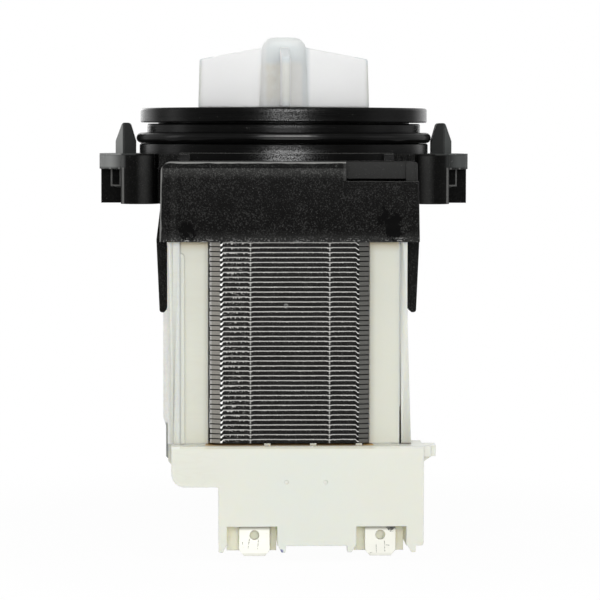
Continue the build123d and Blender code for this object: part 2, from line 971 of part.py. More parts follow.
def core_laminations():
    """The stack of sheets, grooved where the sheets meet on the yoke's face."""
    stack = plan_slab(sheet_plan(), (core_bottom, -core_top))
    stack -= pole_bore((core_bottom - overrun, -core_top + overrun))
    return stack - sheet_grooves()


def coil_tube(width, height, y_span, radius):
    """A rounded rectangular prism about one core leg."""
    middle = Pos(core_leg_middle, core_middle)
    return front_slab(middle * RectangleRounded(width, height, radius), y_span)


def leg_space(y_span):
    """The passage that a bobbin leaves for its core leg."""
    middle = Pos(core_leg_middle, core_middle)
    return front_slab(middle * Rectangle(bobbin_bore_width, bobbin_bore_height), y_span)


def bobbin():
    """The bobbin on the +X leg: a tube with a flange at each end."""
    flange_width = coil_width + 2 * flange_lip
    flange_height = coil_height + 2 * flange_lip
    front = -bobbin_front
    back = -bobbin_back
    tube = coil_tube(tube_width, tube_height, (front, back), bobbin_corner_radius)
    first = coil_tube(flange_width, flange_height, (front, front + bobbin_flange), winding_thickness)
    last = coil_tube(flange_width, flange_height, (back - bobbin_flange, back), winding_thickness)
    return tube + first + last - leg_space((front - overrun, back + overrun))


def winding():
    """The winding on the +X bobbin."""
    y_span = (-bobbin_front + bobbin_flange, -bobbin_back - bobbin_flange)
    bore_span = (y_span[0] - overrun, y_span[1] + overrun)
    coil = coil_tube(coil_width, coil_height, y_span, winding_thickness)
    return coil - coil_tube(tube_width, tube_height, bore_span, bobbin_corner_radius)


def coil_frame():
    """The front frame: two panels beside the yoke, with the returns behind them."""
    front = -frame_front
    bottom = base_top + slide_gap
    window_left = -core_width / 2 - frame_window_left_gap
    window_right = core_width / 2 + frame_window_gap
    window_top = -core_top + slide_gap
    panel = block((-frame_left, frame_right), (front, front + frame_panel), (bottom, frame_top))
    body = panel
    for x_low in (-frame_left, window_left - frame_return, window_right, frame_right - frame_return):
        body += block((x_low, x_low + frame_return), (front, -frame_back), (bottom, frame_top))
    window = block(
        (window_left, window_right),
        (front - overrun, -frame_back + overrun),
        (bottom - overrun, window_top),
    )
    return body - window + frame_rib()


def frame_rib():
    """The thin rib along the left panel's outer edge, with a rounded top."""
    left = -frame_left
    right = left + frame_rib_width
    bottom = base_top + slide_gap
    top = -core_top - frame_rib_drop
    points = [(left, bottom), (right, bottom), (right, top), (left, top)]
    face = rounded(points, [0, 0, frame_rib_width - seat_gap, 0])
    return front_slab(face, (-frame_front - frame_rib_height, -frame_front))


def cover_outline(inset):
    """The cover as seen from the front: the outside, or the hollow inside."""
    gap_top = frame_right + cover_right_gap_top
    gap_bottom = frame_right + cover_right_gap_bottom
    left = -cover_left + (cover_left_wall if inset else 0)
    top = cover_top - (cover_end_wall if inset else 0)
    bottom = cover_bottom + (cover_end_wall if inset else 0)
    right_top = gap_top if inset else cover_right_top
    right_bottom = gap_bottom if inset else cover_right_bottom
    points = [
        (left, bottom),
        (right_bottom, bottom),
        (right_bottom, base_top),
        (right_top, -core_top - cover_flare_start),
        (right_top, top),
        (left, top),
    ]
    corner = 0 if inset else cover_corner_radius
    return rounded(points, [corner, corner, 0, 0, corner, corner])


def cover_skirt():
    """The wider flange round the back of the cover, stepped in near its foot."""
    wide = cover_left + cover_skirt_width
    narrow = cover_left + cover_skirt_lower_width
    top = hood_bottom - cover_skirt_drop
    step = cover_bottom + cover_skirt_rise
    points = [
        (-narrow, cover_bottom + cover_skirt_slope),
        (-narrow + cover_skirt_slope, cover_bottom),
        (narrow - cover_skirt_slope, cover_bottom),
        (narrow, cover_bottom + cover_skirt_slope),
        (narrow, step - cover_skirt_slope),
        (wide, step),
        (wide, top),
        (-wide, top),
        (-wide, step),
        (-narrow, step - cover_skirt_slope),
    ]
    return front_slab(outline(points), (-cover_back - cover_skirt_depth, -cover_back))


def coil_cover():
    """The shell round both coils, open at the front."""
    shell = front_slab(cover_outline(False), (-cover_front, -cover_back)) + cover_skirt()
    hollow = front_slab(cover_outline(True), (-cover_front - overrun, -cover_back - cover_back_wall))
    foot = block(
        (-base_right, base_right),
        (-cover_front - overrun, -base_back + slide_gap),
        (cover_bottom - overrun, base_top + slide_gap),
    )
    step = block(
        (-cover_left - overrun, -cover_left + cover_edge_step_width),
        (-cover_front - overrun, -cover_front + cover_edge_step),
        (cover_bottom, cover_top + overrun),
    )
    window = front_slab(
        Pos(core_leg_middle, core_middle)
        * Rectangle(core_leg_width + 2 * cover_window_gap, core_height + 2 * cover_window_gap),
        (-cover_back - cover_back_wall - overrun, -cover_back + overrun),
    )
    return shell - hollow - foot - step - both_sides(window)


def base_outline():
    """The terminal base as seen from the front, with its step at the left."""
    points = [
        (-base_left, base_top),
        (-base_left, base_step_bottom),
        (-base_block_left, base_step_bottom),
        (-base_block_left, base_bottom),
        (base_right, base_bottom),
        (base_right, base_top),
    ]
    return rounded(points, [0, base_left_radius, base_step_radius, 0, base_right_radius, 0])


def pocket_cut(middle):
    """The room for a push-on connector, open below and at the front's lower part."""
    half = pocket_width / 2
    room = block(
        (middle - half, middle + half),
        (-base_front + base_wall, pocket_back),
        (base_bottom - overrun, pocket_ceiling),
    )
    notch = block(
        (middle - half, middle + half),
        (-base_front - overrun, pocket_back),
        (base_bottom - overrun, base_bottom + pocket_notch_height),
    )
    return room + notch


def back_tongue(middle):
    """The pocket's back wall, which reaches below the base."""
    half = pocket_width / 2
    z_span = (base_bottom - back_tongue_length, base_bottom)
    return block((middle - half, middle + half), (pocket_back, -base_back), z_span)


def prong(x_low, width, pocket_on_right):
    """One blunt prong beside a pocket, sloped on the pocket's side."""
    tip = base_bottom - prong_length
    x_high = x_low + width
    slope_start = tip + prong_slope
    if pocket_on_right:
        points = [
            (x_low, base_bottom + overrun),
            (x_low, tip),
            (x_low + prong_tip_width, tip),
            (x_high, slope_start),
            (x_high, base_bottom + overrun),
        ]
    else:
        points = [
            (x_high, base_bottom + overrun),
            (x_high, tip),
            (x_high - prong_tip_width, tip),
            (x_low, slope_start),
            (x_low, base_bottom + overrun),
        ]
    radii = [0, prong_tip_radius, prong_tip_radius, 0, 0]
    return front_slab(rounded(points, radii), (-base_front, -base_front + prong_depth))


def prongs():
    """The four prongs, one at each side of each pocket."""
    half = pocket_width / 2
    first = -left_pocket_x - half
    second = -left_pocket_x + half
    third = right_pocket_x - half
    fourth = right_pocket_x + half
    body = prong(first - prong_widths[0], prong_widths[0], True)
    body += prong(second, prong_widths[1], False)
    body += prong(third - prong_widths[2], prong_widths[2], True)
    body += prong(fourth, prong_widths[3], False)
    return body


def base_teeth():
    """The low teeth on the base's top that carry the yoke."""
    teeth = Part()
    for number in range(base_tooth_count):
        middle = -base_tooth_first + number * base_tooth_pitch
        teeth += block(
            (middle - base_tooth_width / 2, middle + base_tooth_width / 2),
            (-core_face, -base_back - seat_gap),
            (base_top, core_bottom),
        )
    return teeth


def base_dimples():
    """Two shallow round marks in the base's front face."""
    marks = Part()
    for number in (0, 1):
        place = Pos(number * base_dimple_spacing - base_dimple_start, base_top - base_dimple_drop)
        marks += front_slab(
            place * Circle(base_dimple_diameter / 2),
            (-base_front - overrun, -base_front + base_dimple_depth),
        )
    return marks


def side_clip():
    """The clip at the base's upper right corner, with its gusset."""
    bottom = base_top - clip_height
    end = base_right + clip_reach
    front = -base_front + clip_inset
    back = front + clip_depth
    arm = block((base_right, end), (front + clip_step, back), (bottom, base_top))
    lip = block(
        (base_right, base_right + clip_step_width), (front, back), (bottom, base_top)
    )
    points = [
        (base_right, bottom),
        (base_right + clip_gusset_width, bottom),
        (base_right, bottom - clip_gusset_height),
    ]
    return arm + lip + front_slab(outline(points), (front + clip_step, back))


def fuse_cradles():
    """Two notched posts on the cavity's floor that hold the thermal fuse."""
    radius = fuse_diameter / 2 + cradle_gap
    posts = Part()
    for side in (-1, 1):
        middle = fuse_x + side * cradle_spacing / 2
        posts += block(
            (middle - cradle_width / 2, middle + cradle_width / 2),
            (-base_middle - radius - cradle_width / 2, -base_middle + radius + cradle_width / 2),
            (base_cavity_bottom, fuse_height),
        )
    trough = Pos(fuse_x, -base_middle, fuse_height) * Rot(0, 90, 0) * Cylinder(radius, 2 * fuse_length)
    return posts - trough


def terminal_base():
    """The white base below the yoke, with a pocket for each tab."""
    body = front_slab(base_outline(), (-base_front, -base_back))
    cavity = block(
        (-frame_left, base_right - base_wall),
        (-base_front + base_wall, -base_back + overrun),
        (base_cavity_bottom, base_cavity_top),
    )
    body = body - cavity + fuse_cradles() + base_teeth() + side_clip() + prongs()
    for middle, tab_middle in ((-left_pocket_x, left_tab_x), (right_pocket_x, right_tab_x)):
        body = body - pocket_cut(middle) + back_tongue(middle)
        body -= tab_slot(tab_middle)
    return body - base_dimples()


def tab_slot(middle):
    """The slot that a tab is pressed into."""
    half = tab_width / 2 + seat_gap
    return block(
        (middle - half, middle + half),
        (tab_back - tab_thickness - seat_gap, tab_back + seat_gap),
        (pocket_ceiling - overrun, base_cavity_bottom + overrun),
    )


def terminal(middle):
    """A push-on tab with chamfered corners and its latching hole."""
    half = tab_width / 2
    points = [
        (middle - half, tab_top),
        (middle - half, tab_bottom + tab_chamfer_height),
        (middle - half + tab_chamfer_width, tab_bottom),
        (middle + half - tab_chamfer_width, tab_bottom),
        (middle + half, tab_bottom + tab_chamfer_height),
        (middle + half, tab_top),
    ]
    hole = Pos(middle, tab_bottom + tab_hole_height) * Circle(tab_hole_diameter / 2)
    return front_slab(outline(points) - hole, (tab_back - tab_thickness, tab_back))


def thermal_fuse():
    """The fuse in its cradles, lying along X with a short lead at each end."""
    place = Pos(fuse_x, -base_middle, fuse_height) * Rot(0, 90, 0)
    body = Cylinder(fuse_diameter / 2, fuse_length)
    body = fillet(body.edges().filter_by(GeomType.CIRCLE), fuse_diameter / 8)
    lead = Cylinder(fuse_lead_diameter / 2, fuse_length + 2 * fuse_lead_length)
    return place * (body + lead)


def make_parts():
    """Every piece by its name."""
    right_bobbin = bobbin()
    right_winding = winding()
    return {
        "front_plate": front_plate(),
        "motor_bracket": motor_bracket(),
        "o_ring": o_ring(),
        "rotor_can": rotor_can(),
        "can_seal": can_seal(),
        "shaft_seal": shaft_seal(),
        "front_bearing": bearing_bush(front_bush_top, front_bush_length),
        "front_bearing_holder": front_bearing_holder(),
        "rear_bearing": bearing_bush(rear_bush_top, rear_bush_length),
        "rear_bearing_holder": rear_bearing_holder(),
        "core_laminations": core_laminations(),
        "bobbin_right": right_bobbin,
        "bobbin_left": mirror(right_bobbin, Plane.YZ),
        "winding_right": right_winding,
        "winding_left": mirror(right_winding, Plane.YZ),
        "coil_frame": coil_frame(),
        "coil_cover": coil_cover(),
        "terminal_base": terminal_base(),
        "terminal_left": terminal(left_tab_x),
        "terminal_right": terminal(right_tab_x),
        "thermal_fuse": thermal_fuse(),
        "rotor_shaft": rotor_shaft(),
        "magnet_core": magnet_core(),
        "rotor_magnet": rotor_magnet(),
        "magnet_cap_front": magnet_cap(magnet_top, 1),
        "magnet_cap_rear": magnet_cap(magnet_bottom, -1),
        "thrust_washer_front": thrust_washer(front_washer_top),
        "thrust_washer_rear": thrust_washer(rear_washer_bottom + washer_thickness),
        "drive_dog": drive_dog(),
        "impeller": impeller(),
        "hub_plug": hub_plug(),
    }


os.makedirs("parts", exist_ok=True)
for name, shape in make_parts().items():
    export_step(shape, f"parts/{name}.step")
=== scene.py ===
import math

import bmesh
import bpy
from mathutils import Matrix, Vector


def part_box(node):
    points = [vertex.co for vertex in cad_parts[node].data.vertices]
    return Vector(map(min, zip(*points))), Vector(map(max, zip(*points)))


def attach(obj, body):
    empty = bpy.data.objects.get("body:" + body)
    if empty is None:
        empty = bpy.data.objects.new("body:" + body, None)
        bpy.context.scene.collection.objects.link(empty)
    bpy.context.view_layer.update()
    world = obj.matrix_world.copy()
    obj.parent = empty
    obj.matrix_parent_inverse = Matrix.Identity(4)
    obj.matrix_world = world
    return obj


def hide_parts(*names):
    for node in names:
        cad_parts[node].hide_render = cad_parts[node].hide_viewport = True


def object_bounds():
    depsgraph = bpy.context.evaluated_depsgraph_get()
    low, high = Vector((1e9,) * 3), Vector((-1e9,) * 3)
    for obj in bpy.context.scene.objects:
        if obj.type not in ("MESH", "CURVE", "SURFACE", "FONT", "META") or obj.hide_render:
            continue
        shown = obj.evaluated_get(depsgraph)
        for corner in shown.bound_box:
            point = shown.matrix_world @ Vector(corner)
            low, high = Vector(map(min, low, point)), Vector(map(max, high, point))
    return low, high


bl_info = {
    "name": "Drain Pump",
    "version": (1, 0, 0),
    "blender": (4, 5, 0),
    "location": "View3D > Sidebar > Drain Pump",
    "description": "Dresses a washer drain pump: mouldings, core, impeller, tabs and stage",
    "category": "Object",
}

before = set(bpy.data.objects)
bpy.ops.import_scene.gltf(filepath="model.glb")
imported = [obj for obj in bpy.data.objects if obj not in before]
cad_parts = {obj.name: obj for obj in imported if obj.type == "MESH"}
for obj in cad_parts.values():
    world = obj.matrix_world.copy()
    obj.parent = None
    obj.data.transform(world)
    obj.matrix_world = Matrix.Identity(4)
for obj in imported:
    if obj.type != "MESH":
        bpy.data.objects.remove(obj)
CAD_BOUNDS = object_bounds()
MM = 0.001
UP, FRONT, LEFT = (0.0, 0.0, 1.0), (0.0, -1.0, 0.0), (-1.0, 0.0, 0.0)
WHITE = (1.0, 1.0, 1.0)


# Settings


def length_setting(name, description, default):
    """A length, whose default is given in mm."""
    return bpy.props.FloatProperty(
        name=name, description=description, default=default * MM, unit="LENGTH", precision=6
    )


def colour_setting(name, description, default):
    """A colour without alpha."""
    return bpy.props.FloatVectorProperty(
        name=name, description=description, subtype="COLOR", size=3, default=default, min=0, max=1
    )


class PumpSizes(bpy.types.PropertyGroup):
    """Sizes that a user would change."""

    sheet_count: bpy.props.IntProperty(
        name="Sheets", description="Number of sheets in the core", default=41, min=1
    )
    sheet_share: bpy.props.FloatProperty(
        name="Sheet share",
        description="Share of the pitch that a sheet fills, the rest being the gap to the next",
        default=0.9,
        min=0.1,
        max=1.0,
        subtype="FACTOR",
    )
    sheet_corner: length_setting("Sheet edge", "Rounding of a sheet's cut edge", 0.05)
    blade_voxel: length_setting(
        "Impeller detail", "Voxel size of the impeller's rounded mesh", 0.17
    )
    grain_size: length_setting("Grain size", "Size of the black moulding's grain", 0.28)
    edge_radius: length_setting("Edge radius", "Rounding seen on the mouldings' edges", 0.22)


class PumpColours(bpy.types.PropertyGroup):
    """Colours of the pump's finishes."""

    black: colour_setting("Black moulding", "Bracket and front plate", (0.0012, 0.0012, 0.0011))
    ivory: colour_setting("Ivory moulding", "Coil shell, frame and base", (0.765, 0.775, 0.695))
    natural: colour_setting("Natural plastic", "Impeller", (0.92, 0.93, 0.905))
    steel_dark: colour_setting("Sheared steel", "Cut face of the sheets", (0.006, 0.0058, 0.0055))
    steel_bright: colour_setting("Bright burr", "Burnished edge of the sheets", (0.38, 0.375, 0.36))
    tin: colour_setting("Tin", "Plating of the tabs", (0.84, 0.84, 0.775))


# Node trees


class Wire:
    """An output socket that can stand in a sum."""

    def __init__(self, book, socket):
        self.book = book
        self.socket = socket

    def maths(self, operation, first, second):
        """One step of a sum, as a node."""
        return self.book.wire("ShaderNodeMath", {"operation": operation}, {0: first, 1: second})

    def __add__(self, other):
        return self.maths("ADD", self, other)

    def __radd__(self, other):
        return self.maths("ADD", other, self)

    def __sub__(self, other):
        return self.maths("SUBTRACT", self, other)

    def __rsub__(self, other):
        return self.maths("SUBTRACT", other, self)

    def __mul__(self, other):
        return self.maths("MULTIPLY", self, other)

    def __truediv__(self, other):
        return self.maths("DIVIDE", self, other)

    def __pow__(self, other):
        return self.maths("POWER", self, other)

    def __abs__(self):
        return self.maths("ABSOLUTE", self, 0)

    def __mod__(self, other):
        return self.maths("FLOORED_MODULO", self, other)


class Book:
    """A node tree that is written with add and wire."""

    def __init__(self, tree):
        self.tree = tree

    def add(self, kind, settings=None, sockets=None):
        """Adds a node, sets it, then gives its input sockets values or links."""
        node = self.tree.nodes.new(kind)
        for name, value in (settings or {}).items():
            setattr(node, name, value)
        for key, value in (sockets or {}).items():
            if isinstance(value, Wire):
                self.tree.links.new(value.socket, node.inputs[key])
            else:
                node.inputs[key].default_value = value
        return node

    def wire(self, kind, settings=None, sockets=None, output=0):
        """Adds a node and returns one of its outputs."""
        return Wire(self, self.add(kind, settings, sockets).outputs[output])


class Finish(Book):
    """A material's node tree, with the patterns that several finishes share. Lengths are in mm."""

    def __init__(self, name):
        self.material = bpy.data.materials.new(name)
        self.material.use_nodes = True
        super().__init__(self.material.node_tree)
        self.tree.nodes.clear()
        metres = self.wire("ShaderNodeTexCoord", output="Object")
        self.place = self.wire(
            "ShaderNodeVectorMath", {"operation": "SCALE"}, {0: metres, "Scale": 1 / MM}
        )
        self.normal = self.wire("ShaderNodeNewGeometry", output="Normal")

    def axes(self):
        """The x, y and z of a point."""
        node = self.add("ShaderNodeSeparateXYZ", None, {0: self.place})
        return [Wire(self, socket) for socket in node.outputs]

    def radius(self):
        """How far a point is from the pump's axis."""
        x, y, _ = self.axes()
        return (x * x + y * y) ** 0.5

    def stretched(self, scale, turn=(0, 0, 0)):
        """Coordinates stretched and turned, for patterns that run one way."""
        return self.wire(
            "ShaderNodeMapping", None, {"Vector": self.place, "Scale": scale, "Rotation": turn}
        )

    def noise(self, size, detail=2.0, where=None, distortion=0.0, roughness=0.5):
        """Cloudy noise whose blobs are about as large as size."""
        return self.wire(
            "ShaderNodeTexNoise",
            None,
            {
                "Vector": where or self.place,
                "Scale": 1.0 / size,
                "Detail": detail,
                "Roughness": roughness,
                "Distortion": distortion,
            },
        )

    def ramp(self, value, low, high, start=0.0, end=1.0):
        """A smooth step from start to end as value goes from low to high."""
        return self.wire(
            "ShaderNodeMapRange",
            {"interpolation_type": "SMOOTHSTEP"},
            {"Value": value, "From Min": low, "From Max": high, "To Min": start, "To Max": end},
        )

    def fade(self, value, low, high):
        """One up to low, falling to zero at high."""
        return self.ramp(value, low, high, 1.0, 0.0)

    def held(self, value):
        """Zero below zero, one above one and smooth in between."""
        return self.ramp(value, 0.0, 1.0)

    def follow(self, pattern, low, high):
        """From low to high as a cloudy pattern does."""
        return self.ramp(pattern, 0.3, 0.7, low, high)

    def between(self, value, low, high, soft):
        """One between low and high, zero outside, with soft edges."""
        rise = self.ramp(value, low - soft, low + soft)
        return rise * self.fade(value, high - soft, high + soft)

    def blend(self, mask, under, over):
        """One colour over another where the mask is one."""
        sockets = {0: mask, 6: opaque(under), 7: opaque(over)}
        return self.wire("ShaderNodeMix", {"data_type": "RGBA"}, sockets, output=2)

    def painted(self, colour, *layers):
        """A colour under layers, each a mask and its own colour, from the lowest up."""
        for mask, tone in layers:
            colour = self.blend(mask, colour, tone)
        return colour

    def spot(self, centre, reach):
        """One at a centre, fading to zero at its reach."""
        away = self.wire(
            "ShaderNodeVectorMath",
            {"operation": "DISTANCE"},
            {0: self.place, 1: centre},
            output="Value",
        )
        return self.fade(away, reach * 0.4, reach)

    def soft_normal(self, radius):
        """The surface's direction with its edges rounded."""
        return self.wire("ShaderNodeBevel", {"samples": 4}, {"Radius": radius * MM})

    def facing(self, direction, normal=None):
        """How far the surface faces a direction, from -1 to 1 for a direction of length 1."""
        return self.wire(
            "ShaderNodeVectorMath",
            {"operation": "DOT_PRODUCT"},
            {0: normal or self.normal, 1: direction},
            output="Value",
        )

    def edges(self, rounded):
        """One on the edges that the rounding touches, zero on the flats."""
        return self.ramp(1 - self.facing(self.normal, rounded), 0.01, 0.2)

    def bumps(self, height, depth, normal=None):
        """A bumpy surface direction."""
        sockets = {"Height": height, "Distance": depth * MM}
        if normal:
            sockets["Normal"] = normal
        return self.wire("ShaderNodeBump", None, sockets)

    def crevices(self, distance):
        """One in narrow gaps and inner corners, zero in the open."""
        open_share = self.wire(
            "ShaderNodeAmbientOcclusion", {"samples": 6}, {"Distance": distance * MM}, output="AO"
        )
        return self.fade(open_share, 0.15, 0.7)

    def scratches(self, length, width, turn, amount):
        """Thin straight marks that run one way, thinned out by a cloudy mask."""
        lines = self.noise(width, 2.0, self.stretched((width / length, 1.0, 1.0), turn))
        patches = self.noise(length * 1.7)
        return self.ramp(lines, 0.68 - amount, 0.72 - amount) * self.ramp(patches, 0.5, 0.62)

    def stroke(self, start, end, width):
        """One on a straight line between two points of the XZ plane, which frays at its sides."""
        x, _, z = self.axes()
        run, rise = end[0] - start[0], end[1] - start[1]
        length = math.hypot(run, rise)
        along = ((x - start[0]) * run + (z - start[1]) * rise) / length
        across = abs((z - start[1]) * run - (x - start[0]) * rise) / length
        fray = self.noise(0.25) * width * 2
        inside = self.between(along, 0.0, length, width)
        return inside * self.fade(across + fray, width, width * 1.6)

    def surface(self, **sockets):
        """Ends the tree with one shader. Socket names have underscores for spaces."""
        named = {key.replace("_", " "): value for key, value in sockets.items()}
        shader = self.wire("ShaderNodeBsdfPrincipled", None, named)
        self.add("ShaderNodeOutputMaterial", None, {0: shader})
        return self.material


def opaque(colour):
    """A colour with full alpha. A wire passes as it is."""
    return colour if isinstance(colour, Wire) else (*colour, 1.0)


def shaded(colour, share):
    """A lighter or darker version of a colour."""
    return tuple(min(1.0, part * share) for part in colour)


# Finishes


# Places on the part, in mm: a mask runs from the first value to the second or lies between them
MIDDLE = (-0.1, 0.1)

NOSE_EDGE, NOSE_FOOT = (31.5, 31.8), (-13.2, -12.9)
NOSE_BRIM, NOSE_LINE = (-1.5, -0.5), (-2.95, -2.55)
NOSE_FLARE, NOSE_GROOVE = (-8.6, -9.3), (-5.8, -4.2)
NOSE_MIDDLE, NOSE_ENDS = (3.0, 11.0), (26.5, 30.5)
STEP_HEIGHT, STEP_FRONT, STEP_HALF = (-12.4, -9.5), (-38, -37), (22.3, 22.6)
NOTCH_SIDE, NOTCH_HEIGHT, NOTCH_DEPTH = (10.5, 11.0), (-15.0, -11.0), (-41, -40)
HOOD_FACE, HOOD_BACK = (-47.2, -46.6), (-46.6, -46.3)
HOOD_FOOT, HOOD_LIP, HOOD_LOWER = (-27.4, -24.6), (-27.3, -26.0), (-15, -24)
BELT_TOP, BELT_FALL, BELT_LEFT = (-12.3, -12.7), (-15.4, -12.2), (-24.1, -22.8)
UNDER_RIM, BESIDE_RIM = (-12.35, -11.5), (-25.6, -24.55)
EAR_INSIDE, EAR_BOTTOM, EAR_TOP = (26.5, 27.5), (-22.4, -22.0), (-12.6, -12.9)
EAR_BOSS, BOSS_EDGE, BOSS_TOP = (28.9, 31.0), (34.4, 34.9), (-9.9, -10.4)
CATCH, CATCH_FOOT = (35.3, 37.65), (-17.0, -16.8)
CATCH_HOLE, CATCH_HOLE_FOOT = (35.7, 37.25), (-16.65, -16.45)
LUG, LUG_START, LUG_HEIGHT = (34.8, 37.5), (33.8, 34.8), (-12.8, -10.0)
TONGUE_FOOT, TONGUE_INSIDE, TONGUE_SIDE = (-10.2, -9.9), (31.8, 31.9), (34.9, 35.1)

BASE_INSIDE, PANEL_BOTTOM, PANEL_SIDE = (-46.6, -46.0), (-69.4, -69.0), (22.35, 22.2)
POCKETS, POCKET_TOP, POCKET_BACK = ((-13.2, -1.9), (9.6, 24.0)), (-80.6, -81.2), (-37.9, -37.3)
UNDER_HOOD, BESIDE_CORE = (-29.8, -27.3), (17.8, 16.3)
SKIRT, SKIRT_TOP, OUTER_WALL = (-26.2, -25.05), (-66.8, -67.6), (-24.2, -24.6)
SEAM_SHADE_SIDE, SEAM_SHADE_TOP = (20, 21), (-60, -63)
BASE_CENTRE, BASE_FADE, BASE_TOP, GATE = 3.0, (4, 16), (-69, -71), (-18, -12)
UNDER_CORE, UNDER_CORE_HEIGHT = (17.2, 17.0), (-70.5, -68.2)

HUB, HUB_HOLLOW, HUB_FOOT, HUB_CROWN = (4.9, 6.2), (8.6, 10.6), (0.5, 2.8), (13.0, 14.6)
HUB_LIT, HUB_SHADED, HUB_LEFT, DOG = (2.4, 4.4), (0.4, 1.0), (-3.4, -4.4), (9.9, 11.2)
BLADE_END, BLADE_TIP = (15, 16), (17.2, 18.2)
BLADE_HALF, BLADE_START = (1.6, 2.2), (5.5, 6.5)

WELDS, WELD_HALF, LEFT_THIRD = (-7.95, 8.1), 0.12, (-7.5, -10.5)
WIRE_PITCH = 0.32
TAB_ROOT, TAB_FOOT = (-86.9, -86.1), (-91.3, -91.6)
RING_STREAKS, RING_PARTING = ((-6.15, -5.85), (-6.7, -6.55)), (-6.5, -6.3)

# Small marks: centre and reach in mm
HOOD_RUBS = (
    ((20.2, -47.5, -22.9), 3.4),
    ((21.0, -47.5, -25.5), 2.4),
    ((-20.7, -47.5, -25.3), 2.6),
)
DIMPLES = (((-0.69, -48.0, -76.1), 0.5), ((7.25, -48.0, -76.1), 0.5))
INK_DOT = ((-1.75, -48.0, -90.1), 0.6)
TAB_DIRT = ((20.9, -41.4, -86.1), 1.3)

# Scores on the tabs: x and z of each end, in mm
STROKE_WIDTH = 0.13
TAB_STROKES = (
    (-8.05, -88.4, -8.4, -90.6),
    (-6.25, -88.6, -6.4, -90.7),
    (-9.5, -89.1, -9.5, -89.7),
    (17.95, -89.7, 18.0, -91.4),
    (19.65, -88.9, 19.75, -91.2),
    (19.9, -89.8, 20.7, -89.9),
    (16.6, -91.5, 17.2, -91.3),
)


